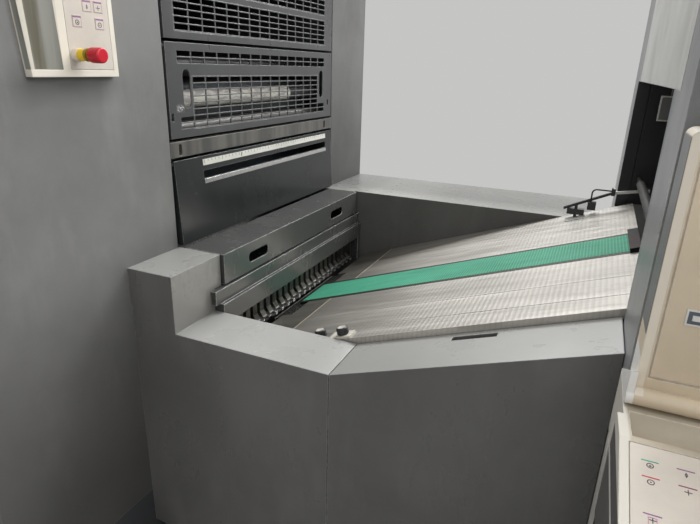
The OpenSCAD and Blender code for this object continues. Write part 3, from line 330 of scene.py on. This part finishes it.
# Damping, metering and ink form rollers.
# Steel tubes on journals that turn in the side frames. The damping roller has a cream cover with grey
# spots and a black end, the ink form roller is in black rubber, and the metering roller is bare.
COVER_END, ROLLER_END, BEYOND = 0.29, 0.5, 0.7
roller = moulded("cream_roller", (0.75, 0.73, 0.65), 0.35)
roller.paint(roller.between(roller.y, COVER_END, BEYOND, 0.004), (0.03, 0.03, 0.03))
spots = roller.ramp(roller.noise(40.0, (1, 0.5, 2)), 0.48, 0.56)
roller.paint(roller.both(spots, roller.between(roller.y, -ROLLER_END, COVER_END)), (0.45, 0.42, 0.4))
dress(roller, "damping_roller")
dress(moulded("ink_roller", (0.03, 0.03, 0.035), 0.3), "ink_form_roller")
dull_steel = ground("dull_steel", (0.36, 0.35, 0.34), 0.42, FINE_MARKS)
dress(dull_steel, "metering_roller")

# Housings and closing covers of the unit.
# Sheet steel boxes, screwed on outside the side frames and painted in glossy graphite. The paint is darker
# by the foot as painted shade, has a painted shadow under the control box, and is lighter near the top as
# painted light.
WORN_AND_LIT_GRAPHITE = (0.34, 0.34, 0.33)
FOOT_TOP, LIT_FROM, HOUSING_TOP = 0.75, 1.5, 2.0
UNDER_BOX_Y, UNDER_BOX_Z, FRONT_X = (-1.01, -0.72), (1.5, 1.56), (-0.01, 0.01)
housing = painted("housing_paint", (0.205, 0.204, 0.2), 0.34, WORN_AND_LIT_GRAPHITE)
# Painted shade darkens the foot of the housing.
foot_shade = housing.between(housing.z, -1, FOOT_TOP, 0.35)
housing.paint(housing.part(foot_shade, 0.75), (0.06, 0.058, 0.055))
# Painted light makes the housing lighter near the top.
housing.paint(housing.ramp(housing.z, LIT_FROM, HOUSING_TOP, 0.0, 0.5), (0.29, 0.288, 0.28))
# A painted shadow of the control box on the housing below it.
shadow_under_box = housing.both(housing.between(housing.y, *UNDER_BOX_Y, 0.05),
                         housing.between(housing.z, *UNDER_BOX_Z, 0.03), housing.between(housing.x, *FRONT_X))
housing.paint(housing.part(shadow_under_box, 0.6), (0.05, 0.05, 0.05))
dress(housing, "os_housing", "unit_top_cover", "unit_rear_cover")
# The drive side housing is a shaded copy of the same graphite paint, and painted shade darkens it further
# towards the bottom.
shaded_far_housing = painted("far_housing_paint", (0.17, 0.169, 0.166), 0.4, WORN_AND_LIT_GRAPHITE, specular=0.2)
shaded_far_housing.paint(shaded_far_housing.ramp(shaded_far_housing.z, 1.0, 1.7, 0.6, 0.0), (0.07, 0.07, 0.068))
dress(shaded_far_housing, "ds_housing")

# Guards over the rollers and the cylinders, and the rail between them.
# Folded sheet steel lids with cut slots and grilles, hinged to the side frames and painted darker than
# the housings. The plate guard has white scuffs beside its grip slot.
GUARD_PAINT, GUARD_EDGE_WEAR_AND_HIGHLIGHT = (0.078, 0.079, 0.081), (0.3, 0.3, 0.3)
SCUFF_Y, SCUFF_Z = (-0.487, -0.455), (1.445, 1.462)
dress(painted("guard_paint", GUARD_PAINT, 0.3, GUARD_EDGE_WEAR_AND_HIGHLIGHT), "upper_guard", "upper_guard_grilles")
cross_rail = painted("cross_rail_paint", (0.085, 0.084, 0.08), 0.3, GUARD_EDGE_WEAR_AND_HIGHLIGHT)
runs = cross_rail.ramp(cross_rail.noise(24.0, (1, 1, 0.05)), 0.42, 0.62, 0.0, 0.7)
cross_rail.paint(runs, (0.17, 0.16, 0.14))
dress(cross_rail, "guard_cross_rail")
plate = painted("plate_guard_paint", GUARD_PAINT, 0.3, GUARD_EDGE_WEAR_AND_HIGHLIGHT)
scuffs = plate.both(plate.between(plate.y, *SCUFF_Y, 0.004), plate.between(plate.z, *SCUFF_Z, 0.006),
                    plate.ramp(plate.noise(260.0), 0.5, 0.6))
plate.paint(scuffs, (0.75, 0.74, 0.72))
dress(plate, "plate_guard", "plate_guard_grille")
dress(painted("blanket_guard_paint", (0.025, 0.028, 0.028), 0.24, (0.22, 0.22, 0.22)), "blanket_guard")

# Scale strip and window bar of the blanket guard.
# A white plastic strip, screwed over the window, and a ground steel bar below it. The strip's division is
# engraved and blackened: a line every 20 mm, a longer one every 100 mm, and one broad setting mark.
SCALE_TOP, SCALE_START, DIVISION, DIVISIONS = 1.284, -0.376, 0.02, 45
LEAN, LEAN_TOP, LEAN_HEIGHT, STRIP_FACE = 0.015, 1.296, 0.27, 0.002
LINE_WIDTH, SHORT_LINE, LONG_LINE = 0.0018, 0.007, 0.011
SETTING_MARK_Y, SETTING_MARK_Z = -0.161, 1.275
SUNK = 0.0003
dress(moulded("white_scale", (0.75, 0.74, 0.68), 0.45), "scale_strip")
dress(bright_steel, "window_bar")
ink = moulded("dark_print", (0.07, 0.06, 0.08), 0.5)


def solid(name, corners, sides, surface, body):
    """A closed mesh in this surface, which moves with a body of the press."""
    shape = bpy.data.meshes.new(name)
    shape.from_pydata(corners, [], sides)
    shape.materials.append(surface.material)
    piece = bpy.data.objects.new(name, shape)
    scene.collection.objects.link(piece)
    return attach(piece, body)


def inlay(name, outlines, place, height, surface, body="press"):
    """Thin plates, a little sunk in the face of place(u, v, h), one for each outline of (u, v) points."""
    corners, sides = [], []
    for points in outlines:
        n, k = len(points), len(corners)
        corners += [place(u, v, h) for h in (-SUNK, height) for u, v in points]
        sides += [[k + n + i for i in range(n)], [k + i for i in reversed(range(n))]]
        sides += [[k + i, k + (i + 1) % n, k + n + (i + 1) % n, k + n + i] for i in range(n)]
    return solid(name, corners, sides, surface, body)


def bar(u, v, width, height):
    """A rectangle about its middle."""
    w, h = width / 2, height / 2
    return [(u - w, v - h), (u + w, v - h), (u + w, v + h), (u - w, v + h)]


def on_scale(u, v, h):
    """On the strip, which leans with the guard: the lower, the further forward."""
    return LEAN * (LEAN_TOP - v) / LEAN_HEIGHT + STRIP_FACE + h, u, v


lines = []
for step in range(DIVISIONS):
    length = LONG_LINE if step % 5 == 0 else SHORT_LINE
    lines.append(bar(SCALE_START + DIVISION * step, SCALE_TOP - length / 2, LINE_WIDTH, length))
lines.append(bar(SETTING_MARK_Y, SETTING_MARK_Z, 0.004, 0.013))
inlay("scale_lines", lines, on_scale, 0.0002, ink, "blanket_guard")

# Covers round the infeed.
# Sheet steel boxes beside and in front of the feed board, screwed to its frame, in glossy dark paint. Their
# tops carry a pale film, partly paper dust and partly painted light, and their faces towards the feeder a
# painted highlight near the unit. The drive side one is duller.
COVER_PAINT = (0.131, 0.129, 0.124)
TO_FEEDER = (1, 0, 0)


def cover_paint(name, specular):
    s = painted(name, COVER_PAINT, 0.28, (0.42, 0.42, 0.41), dust_and_top_light=0.6, specular=specular)
    light_near_the_unit = s.ramp(s.x, 0.0, 0.4, 0.8, 0.0)
    # A painted highlight on the faces towards the feeder, near the unit, where the light comes from that
    # side.
    s.paint(s.both(s.facing(TO_FEEDER), light_near_the_unit), (0.45, 0.44, 0.41))
    return s


dress(cover_paint("near_cover_paint", 0.45), "infeed_cover_os", "slope_cover_os")
dress(cover_paint("far_cover_paint", 0.12), "infeed_cover_ds")

# Ledge over the front lays, and the beam that carries them.
# The ledge is a folded and hinged steel guard with two hand holes, the beam a bar between the side
# frames. Both are painted nearly black. Their edges are worn bright and painted pale as highlights too, and
# their faces towards the feeder carry painted light.
ledge = painted("ledge_paint", (0.059, 0.061, 0.059), 0.24, (0.9, 0.9, 0.88), dust_and_top_light=0.06, edge=0.004)
# Painted light on the faces towards the feeder.
ledge.paint(ledge.part(ledge.facing(TO_FEEDER), 0.6), (0.13, 0.132, 0.126))
dress(ledge, "front_lay_guard", "lay_beam")

# Front lays with their stops and shaft.
# Hardened steel fingers that stop the sheet, clamped side by side on a ground shaft. Ink has dulled the
# fingers, and a pale band along their tips is a painted highlight.
TIPS_Z = (0.6, 0.716)
lays = ground("lay_steel", (0.2, 0.194, 0.176), 0.52, (1, 1, 5))
lays.paint(lays.ramp(lays.noise(35.0, (1, 1, 0.5)), 0.45, 0.62), (0.09, 0.086, 0.08))
# A painted highlight along the fingers' tips.
lays.paint(lays.between(lays.z, *TIPS_Z, 0.003), (0.7, 0.69, 0.67))
dress(lays, "front_lays")
dress(bright_steel, "lay_stops", "lay_shaft")

# Feed board and its front plate.
# Ribbed stainless sheet on the board's frame. It is worn in streaks along the sheets' way, and painted darker
# towards the front lays as a reflection of the dark unit. A soft brown line lies beside the drive side cover,
# and a pale line across at the seam is a painted highlight of the board's front edge.
RIB_PITCH = 0.0135
SEAM_HIGHLIGHT_X = (0.36, 0.367)
BROWN_LINE_X, BROWN_LINE_Y, BROWN_LINE_SHARPNESS = (0.44, 0.98), (0.37, 0.555), 26.0


def ribbed(name, colour, dark):
    s = Surface(name, colour, 0.36, metal=0.45)
    s.rounded(0.001)
    rows = s.waves(s.x, RIB_PITCH)
    s.paint(s.ramp(rows, 0.1, 0.9, 0.0, 0.3), shade(colour, 0.5))
    s.paint(s.ramp(s.noise(3.0, (0.2, 4, 1), detail=5.0), 0.42, 0.7, 0.0, 0.5), dark)
    s.paint(s.ramp(s.noise(7.0, (0.12, 9, 1), detail=6.0, rough=0.65), 0.5, 0.72, 0.0, 0.6), dark)
    s.paint(s.ramp(s.noise(5.0, (0.15, 7, 1), detail=5.0), 0.52, 0.7, 0.0, 0.45), shade(colour, 1.35))
    s.roughen(s.noise(10.0, (0.3, 4, 1)), 0.3, 0.7, 0.28, 0.44)
    s.bump(rows, 0.0004, 0.35)
    return s


board = ribbed("board_sheet", (0.53, 0.505, 0.465), (0.29, 0.275, 0.245))
# Painted reflection of the dark unit: the sheet is darker towards the front lays.
board.paint(board.ramp(board.x, 0.35, 0.75, 0.75, 0.0), (0.2, 0.185, 0.165))
# A soft brown line beside the drive side cover, stronger towards the front.
brown_line_path = board.ramp(board.x, *BROWN_LINE_X, *BROWN_LINE_Y)
from_line = board.math("ABSOLUTE", board.math("SUBTRACT", board.y, brown_line_path))
brown_line = board.math("SUBTRACT", 1.0, board.math("MULTIPLY", from_line, BROWN_LINE_SHARPNESS), clamp=True)
board.paint(board.both(brown_line, board.ramp(board.x, 0.3, 1.05, 0.95, 0.15)), (0.12, 0.09, 0.07))
# A painted highlight along the seam, where the board's front edge stands over the front plate.
board.paint(board.between(board.x, *SEAM_HIGHLIGHT_X, 0.0006), (0.8, 0.74, 0.55))
dress(board, "feed_board")
dress(ribbed("front_sheet", (0.185, 0.174, 0.152), (0.08, 0.075, 0.065)), "board_front_plate")

# Suction belt with its rails, head and strip.
# A green rubber belt with fine cross ribs and pale crests, between two blackened steel rails. The head at
# the feeder's end and the strip at the lays' end are black plastic, screwed to the board.
BELT_RIB_PITCH = 0.009
BROWN_PART_Y, PALE_END_X = (-0.13, 0.02), (0.19, 0.1975)
belt = moulded("green_belt", (0.05, 0.33, 0.205), 0.5, specular=0.15)
belt_ribs = belt.waves(belt.x, BELT_RIB_PITCH)
belt.paint(belt.ramp(belt_ribs, 0.1, 0.9, 0.0, 0.5), (0.17, 0.5, 0.355))
belt.paint(belt.ramp(belt.noise(12.0, (0.2, 3, 1)), 0.5, 0.7, 0.0, 0.35), (0.03, 0.2, 0.14))
belt.bump(belt_ribs, 0.0008, 0.5)
dress(belt, "suction_belt")
dress(ground("rail_steel", (0.055, 0.055, 0.05), 0.5, (6, 1, 1)), "belt_rails")
head = moulded("belt_head_plastic", (0.006, 0.006, 0.006), 0.45, specular=0.12)
head.paint(head.between(head.y, *BROWN_PART_Y, 0.002), (0.022, 0.007, 0.006))
dress(head, "belt_head")
strip = moulded("strip_plastic", (0.015, 0.015, 0.015), 0.35)
strip.paint(strip.between(strip.x, *PALE_END_X, 0.001), (0.6, 0.58, 0.5))
dress(strip, "suction_strip")

# Side lay and its two knobs.
# A dark block with a pale plate, clamped on the board. Pale caps with a dished middle and a dark pointer
# line are pressed into the tops of the two black knobs, and turn with them.
BOARD_TILT, KNOB_Y, BOARD_Z = math.atan(0.35), -0.535, 0.632
KNOBS = {"a": 0.56, "b": 0.6357}
PLATE_X = (0.56, 0.75)
POINTER_HEIGHT = 0.0285
CAP_PROFILE = [(0.0128, 0.0272), (0.0128, 0.0279), (0.0122, 0.0284), (0.0075, 0.0286), (0.006, 0.0279),
               (0.002, 0.0277)]
lay_plate = moulded("side_lay_plate", (0.16, 0.16, 0.155), 0.4)
lay_plate.paint(lay_plate.between(lay_plate.x, *PLATE_X, 0.004), (0.66, 0.63, 0.55))
dress(lay_plate, "side_lay")
black_plastic = moulded("black_plastic", (0.02, 0.02, 0.022), 0.4)
dress(black_plastic, "side_lay_knob_a", "side_lay_knob_b")
cap = moulded("knob_cap", (0.66, 0.64, 0.58), 0.35)


def turned(name, profile, place, surface, body, parts=40):
    """A piece turned about its own axis, from a profile of (radius, height) points."""
    corners, sides = [], []
    for radius, height in profile:
        for i in range(parts):
            angle = 2 * math.pi * i / parts
            corners.append(place(radius * math.cos(angle), radius * math.sin(angle), height))
    for j in range(len(profile) - 1):
        for i in range(parts):
            k = (i + 1) % parts
            sides.append([j * parts + i, j * parts + k, (j + 1) * parts + k, (j + 1) * parts + i])
    sides.append(list(reversed(range(parts))))
    sides.append([(len(profile) - 1) * parts + i for i in range(parts)])
    return solid(name, corners, sides, surface, body)


def knob_place(along):
    """Places about a knob that stands square on the sloping board, this far along it."""
    def place(u, v, h):
        s, y = along + u, KNOB_Y + v
        return (s * math.cos(BOARD_TILT) - h * math.sin(BOARD_TILT), y,
                BOARD_Z + s * math.sin(BOARD_TILT) + h * math.cos(BOARD_TILT))
    return place


for letter, along in KNOBS.items():
    spot = knob_place(along)
    turned("knob_cap_" + letter, CAP_PROFILE, spot, cap, "side_lay_knob_" + letter)
    inlay("knob_pointer_" + letter, [bar(0.0098, 0, 0.0042, 0.0011)],
          lambda u, v, h: spot(u, v, POINTER_HEIGHT + h), 0.0003, ink, "side_lay_knob_" + letter)

# Sheet sensor and its cable.
# A black plastic sensor on a pale foot plate, held over the board by an arm whose end is bare steel. The
# short black cable bows from the sensor to the arm.
FOOT_PLATE_X, FOOT_PLATE_Y = (1.12, 1.192), (0.43, 0.4895)
ARM_END_X, ARM_END_Y = (1.283, 1.42), (0.49, 0.52)
sensor = moulded("sensor_plastic", (0.02, 0.02, 0.022), 0.38)
foot_plate = sensor.both(sensor.between(sensor.x, *FOOT_PLATE_X), sensor.between(sensor.y, *FOOT_PLATE_Y))
sensor.paint(foot_plate, (0.42, 0.43, 0.4))
arm_end = sensor.both(sensor.between(sensor.x, *ARM_END_X), sensor.between(sensor.y, *ARM_END_Y))
sensor.paint(arm_end, (0.5, 0.5, 0.48))
sensor.feed(sensor.shader.inputs["Metallic"], arm_end)
dress(sensor, "sheet_sensor")
dress(black_plastic, "sensor_cable")

# Feeder frames and the cross cover.
# Steel columns on both sides in light grey paint, with painted shade on the inner chamfer and painted light
# low down, just above the board.
# The cover over the feeder's mouth is sheet steel in off-white paint, screwed between them, with painted
# shade on its tops.
CHAMFER_Y, CHAMFER_X = (-0.62, -0.58), (1.3, 1.33)
column = painted("column_paint", (0.2, 0.208, 0.212), 0.3, (0.5, 0.5, 0.5), specular=0.2)
# Painted shade on the inner chamfer, which faces in towards the dark inside.
shaded_inner_chamfer = column.both(column.between(column.y, *CHAMFER_Y, 0.01), column.between(column.x, *CHAMFER_X))
column.paint(shaded_inner_chamfer, (0.07, 0.09, 0.11))
# Painted light on the column's lower part.
column.paint(column.ramp(column.z, 1.05, 1.4, 0.6, 0.0), (0.36, 0.37, 0.37))
dress(column, "feeder_os_frame", "feeder_ds_frame")
cross_cover = painted("feeder_cover_paint", (0.66, 0.655, 0.635), 0.5, (0.55, 0.55, 0.54), specular=0.06)
# Painted shade on the up-facing tops keeps them from glaring under the lamps.
cross_cover.paint(cross_cover.part(cross_cover.facing(UP), 0.8), (0.4, 0.395, 0.38))
dress(cross_cover, "feeder_cross_cover")

# Liners and bracket in the feeder's mouth, and the pull roller.
# Black sheets line the mouth. The bracket on them is bent from steel plate, dark on its face and bare on
# its cut edges. The pull roller below is covered with dark rubber.
BRACKET_X, BRACKET_Y = (1.3, 1.36), (-0.31, -0.29)
liner = moulded("liner_plastic", (0.008, 0.008, 0.01), 0.35)
bracket_face = liner.both(liner.between(liner.x, *BRACKET_X), liner.between(liner.y, *BRACKET_Y))
liner.paint(bracket_face, (0.09, 0.088, 0.085))
dress(liner, "feeder_liners")
dress(moulded("pull_rubber", (0.06, 0.058, 0.055), 0.55, specular=0.2), "pull_roller")
bare_edge = ground("bare_edge", (0.62, 0.61, 0.58), 0.3, FINE_MARKS)


def border(u, v, width, height, line):
    """Four bars round a field."""
    w, h = (width - line) / 2, (height - line) / 2
    return [bar(u, v - h, width, line), bar(u, v + h, width, line),
            bar(u - w, v, line, height - 2 * line), bar(u + w, v, line, height - 2 * line)]


def on_bracket(u, v, h):
    return u, -0.3 - h, v


inlay("bracket_edge", border(1.3285, 1.5155, 0.033, 0.059, 0.0035), on_bracket, 0.0008, bare_edge)

# Suction head, pile board and its chains.
# The head and the chains are dull steel. The board is planed wood that hangs in the chains and shows its
# grain.
dress(dull_steel, "pile_chains", "suction_head")
wood = moulded("pile_wood", (0.45, 0.31, 0.17), 0.65)
wood.paint(wood.ramp(wood.noise(14.0, (1, 12, 1)), 0.45, 0.7), (0.3, 0.19, 0.09))
dress(wood, "pile_board")

# Side panel of the feeder, and the latch of its door.
# A moulded cream panel with a lighter bead along its front edge, a grey end and a white plate on it. The
# latch is a pressed rim with a dark finger cup and a lever, set flush in the door.
CREAM, CREAM_EDGE_WEAR_AND_HIGHLIGHT = (0.75, 0.635, 0.475), (0.8, 0.77, 0.7)
LATCH_X, LATCH_Z = 1.385, 1.2407
PANEL_FACE_Y, END_X, BEAD_X = -0.94, (1.2, 1.3078), (1.3085, 1.321)
GREY_END_Z, END_PLATE_Z, BEAD_Z = (1.2, 1.6), (1.0, 1.16), (1.1, 1.6)


def cream_paint(name, colour, rough=0.4):
    return painted(name, colour, rough, CREAM_EDGE_WEAR_AND_HIGHLIGHT, specular=0.4)


panel = cream_paint("side_panel_paint", CREAM)
end_face = panel.between(panel.x, *END_X)
panel.paint(panel.both(end_face, panel.between(panel.z, *GREY_END_Z)), (0.15, 0.157, 0.16))
panel.paint(panel.both(end_face, panel.between(panel.z, *END_PLATE_Z)), (0.78, 0.77, 0.74))
bead = panel.both(panel.between(panel.x, *BEAD_X, 0.0006), panel.between(panel.z, *BEAD_Z))
panel.paint(bead, (0.74, 0.68, 0.58))
dress(panel, "feeder_side_panel")
latch_rim = moulded("latch_rim", (0.72, 0.71, 0.68), 0.35)
latch_cup = moulded("latch_cup", (0.1, 0.12, 0.15), 0.4)


def on_door(u, v, h):
    return u, PANEL_FACE_Y - h, v


inlay("door_latch_rim", border(LATCH_X, LATCH_Z, 0.06, 0.027, 0.003), on_door, 0.0016, latch_rim)
inlay("door_latch_cup", [bar(LATCH_X, LATCH_Z, 0.054, 0.021)], on_door, 0.0006, latch_cup)
inlay("door_latch_lever", [bar(1.377, LATCH_Z, 0.026, 0.0085)], on_door, 0.0028, latch_rim)

# Console of the feeder and the cabinet under it.
# The console is a cream casting with a worn front strip. Its end towards the board is dark, partly its own
# dark paint and partly painted shade, with a steel line. The cabinet is brown sheet steel with a bright edge
# strip, and stands under it on the floor.
FRONT_STRIP_X, CHEEK_X, CABINET_EDGE_X = (1.28, 1.302), (1.28, 1.2875), (1.2, 1.2995)
CHEEK_Z, STEEL_LINE_Z = (0.5, 1.055), (1.0, 1.011)
console = cream_paint("console_paint", (0.5, 0.44, 0.35))
console.paint(console.between(console.x, *FRONT_STRIP_X, 0.002), (0.6, 0.57, 0.51))
cheek = console.between(console.x, *CHEEK_X)
# The cheek is painted dark, partly its own dark paint and partly painted shade.
console.paint(console.both(cheek, console.between(console.z, *CHEEK_Z, 0.001)), (0.1, 0.095, 0.09))
console.paint(console.both(cheek, console.between(console.z, *STEEL_LINE_Z, 0.001)), (0.6, 0.58, 0.55))
dress(console, "feeder_console")
cabinet = painted("cabinet_paint", (0.05, 0.047, 0.044), 0.55, (0.3, 0.3, 0.29), specular=0.0)
cabinet.paint(cabinet.between(cabinet.x, *CABINET_EDGE_X), (0.55, 0.53, 0.5))
dress(cabinet, "feeder_cabinet")

# Foil of the console, and its prints.
# A warm white foil, glued on the console's slope. It is printed in colour with rows of bars, each with a
# small sign below, and the columns beyond the picture's edge repeat the seen ones.
key_foil = moulded("key_foil", (0.6, 0.545, 0.485), 0.4)
dress(key_foil, "feeder_keypad")
FOIL_TILT = math.atan2(28, 178)
FOIL_FRONT_Y, FOIL_FRONT_Z = -1.24, 1.055
PRINT_THICKNESS = 0.0003
FIRST_COLUMN, COLUMN_PITCH, COLUMNS = 1.3268, 0.0445, 13
BAR_WIDTH, BAR_HEIGHT, SIGN, SIGN_KINDS = 0.022, 0.0018, 0.0095, 6
ROWS = [0.1415, 0.111, 0.0805, 0.0476, 0.022]
TINTS = [["green", "red", None, "violet", None], ["violet", "maroon", None, None, "violet"],
         ["violet", "violet", "maroon", None, None]]
FRAMED_ROW = 3
violet = moulded("violet_print", (0.28, 0.13, 0.3), 0.5)
rose = moulded("rose_print", (0.55, 0.3, 0.42), 0.5)
INKS = {"green": moulded("green_print", (0.03, 0.42, 0.3), 0.5),
        "red": moulded("red_print", (0.6, 0.04, 0.07), 0.5), "violet": violet,
        "maroon": moulded("maroon_print", (0.25, 0.05, 0.12), 0.5), "rose": rose, "dark": ink}


def ring(u, v, outer, line, parts=24):
    """A circle drawn with a line of the given width."""
    def spot(radius, i):
        angle = 2 * math.pi * i / parts
        return u + radius * math.cos(angle), v + radius * math.sin(angle)
    return [[spot(outer - line, i), spot(outer, i), spot(outer, i + 1), spot(outer - line, i + 1)]
            for i in range(parts)]


def arrow(u, v, size, way):
    """An arrow head that points to way, in degrees."""
    turn = math.radians(way)
    points = [(0.5, 0), (-0.4, 0.45), (-0.4, -0.45)]
    return [[(u + size * (x * math.cos(turn) - y * math.sin(turn)),
              v + size * (x * math.sin(turn) + y * math.cos(turn))) for x, y in points]]


def sign(kind, u, v, size):
    """One of six plain machine signs."""
    line = size * 0.12
    if kind == 0:
        return ring(u, v, size / 2, line) + arrow(u, v, size * 0.45, 90)
    if kind == 1:
        return ring(u, v, size / 2, line) + [bar(u, v, size * 0.2, size * 0.2)]
    if kind == 2:
        return arrow(u, v + size * 0.25, size * 0.5, 90) + arrow(u, v - size * 0.25, size * 0.5, 270)
    if kind == 3:
        return [bar(u, v, size, line), bar(u, v + size * 0.28, line, size * 0.4),
                bar(u, v - size * 0.28, line, size * 0.4)]
    if kind == 4:
        return arrow(u + size * 0.2, v, size * 0.6, 0) + [bar(u - size * 0.3, v, size * 0.4, line)]
    return ring(u, v, size * 0.35, line) + [bar(u, v - size * 0.5, size, line)]


def on_console_foil(u, v, h):
    return (u, FOIL_FRONT_Y + v * math.cos(FOIL_TILT) - h * math.sin(FOIL_TILT),
            FOIL_FRONT_Z + v * math.sin(FOIL_TILT) + h * math.cos(FOIL_TILT))


prints = {tint: [] for tint in INKS}
for count in range(COLUMNS):
    u = FIRST_COLUMN + COLUMN_PITCH * count
    for number, (v, tint) in enumerate(zip(ROWS, TINTS[count % 3])):
        if tint is None:
            continue
        prints[tint].append(bar(u, v, BAR_WIDTH, BAR_HEIGHT))
        if number == FRAMED_ROW:
            prints["rose"] += border(u, v - 0.011, 0.011, 0.014, 0.0012)
        prints["dark"] += sign((count * 2 + number) % SIGN_KINDS, u, v - 0.0085, SIGN)
for tint, print_ink in INKS.items():
    inlay("console_" + tint + "_print", prints[tint], on_console_foil, PRINT_THICKNESS, print_ink)

# Control box of the unit, and its keys.
# A cream moulded box, screwed to the housing, with a trough beside a printed foil, painted dark as the shade
# in its hollow. Each key is a field of the foil with a violet head bar, a fine outline and a small sign.
BOX_EDGE, BOX_FOOT, KEY_FACE = -0.724, 1.548, 0.023
KEY, KEY_LINE, HEAD_BAR = 0.026, 0.0009, 0.003
TROUGH_X, TROUGH_Y, TROUGH_Z = (0.005, 0.0217), (-1.0, -0.889), (1.5642, 1.8618)
KEYS = [(-0.111, 0.125), (-0.045, 0.123), (-0.078, 0.161), (-0.045, 0.161), (-0.111, 0.199), (-0.078, 0.199),
        (-0.045, 0.199), (-0.111, 0.237), (-0.078, 0.237)]
box = cream_paint("control_box_paint", (0.74, 0.69, 0.6), 0.34)
# Painted shade in the trough's hollow, with lighter streaks in it.
shaded_trough = box.both(box.between(box.x, *TROUGH_X), box.between(box.y, *TROUGH_Y), box.between(box.z, *TROUGH_Z))
box.paint(shaded_trough, (0.118, 0.11, 0.082))
streaks = box.ramp(box.noise(30.0, (1, 1, 0.06), detail=3.0), 0.4, 0.62)
box.paint(box.both(shaded_trough, streaks), (0.26, 0.26, 0.235))
dress(box, "control_box")
dress(key_foil, "control_keypad")


def on_key_face(u, v, h):
    return KEY_FACE + h, BOX_EDGE + u, BOX_FOOT + v


fields, heads, signs = [], [], []
for count, (u, v) in enumerate(KEYS):
    fields += border(u, v, KEY * 0.94, KEY * 0.94, KEY_LINE)
    heads.append(bar(u, v + KEY * 0.36, KEY * 0.86, HEAD_BAR))
    signs += sign(count % SIGN_KINDS, u, v - KEY * 0.1, KEY * 0.44)
inlay("key_borders", fields, on_key_face, 0.0002, rose)
inlay("key_heads", heads, on_key_face, PRINT_THICKNESS, violet)
inlay("key_signs", signs, on_key_face, PRINT_THICKNESS, ink)

# Stop button.
# Moulded plastic on the control box: pale collar and yellow sleeve on the fixed part, whose end under the
# head is painted dark as shade, and a red mushroom head on a brass stem, which slides in the sleeve.
COLLAR_X, SLEEVE_SHADE_X, STEM_X = (0.02, 0.0392), (0.0598, 0.08), (0.02, 0.0768)
stop_base = moulded("stop_sleeve", (0.9, 0.62, 0.0), 0.35)
stop_base.paint(stop_base.between(stop_base.x, *COLLAR_X), (0.7, 0.6, 0.5))
# Painted shade on the sleeve's end under the head.
stop_base.paint(stop_base.between(stop_base.x, *SLEEVE_SHADE_X), (0.32, 0.19, 0.01))
dress(stop_base, "e_stop_base")
stop_head = moulded("stop_head", (0.62, 0.012, 0.03), 0.28)
stop_head.paint(stop_head.between(stop_head.x, *STEM_X), (0.3, 0.2, 0.03))
dress(stop_head, "e_stop_button")
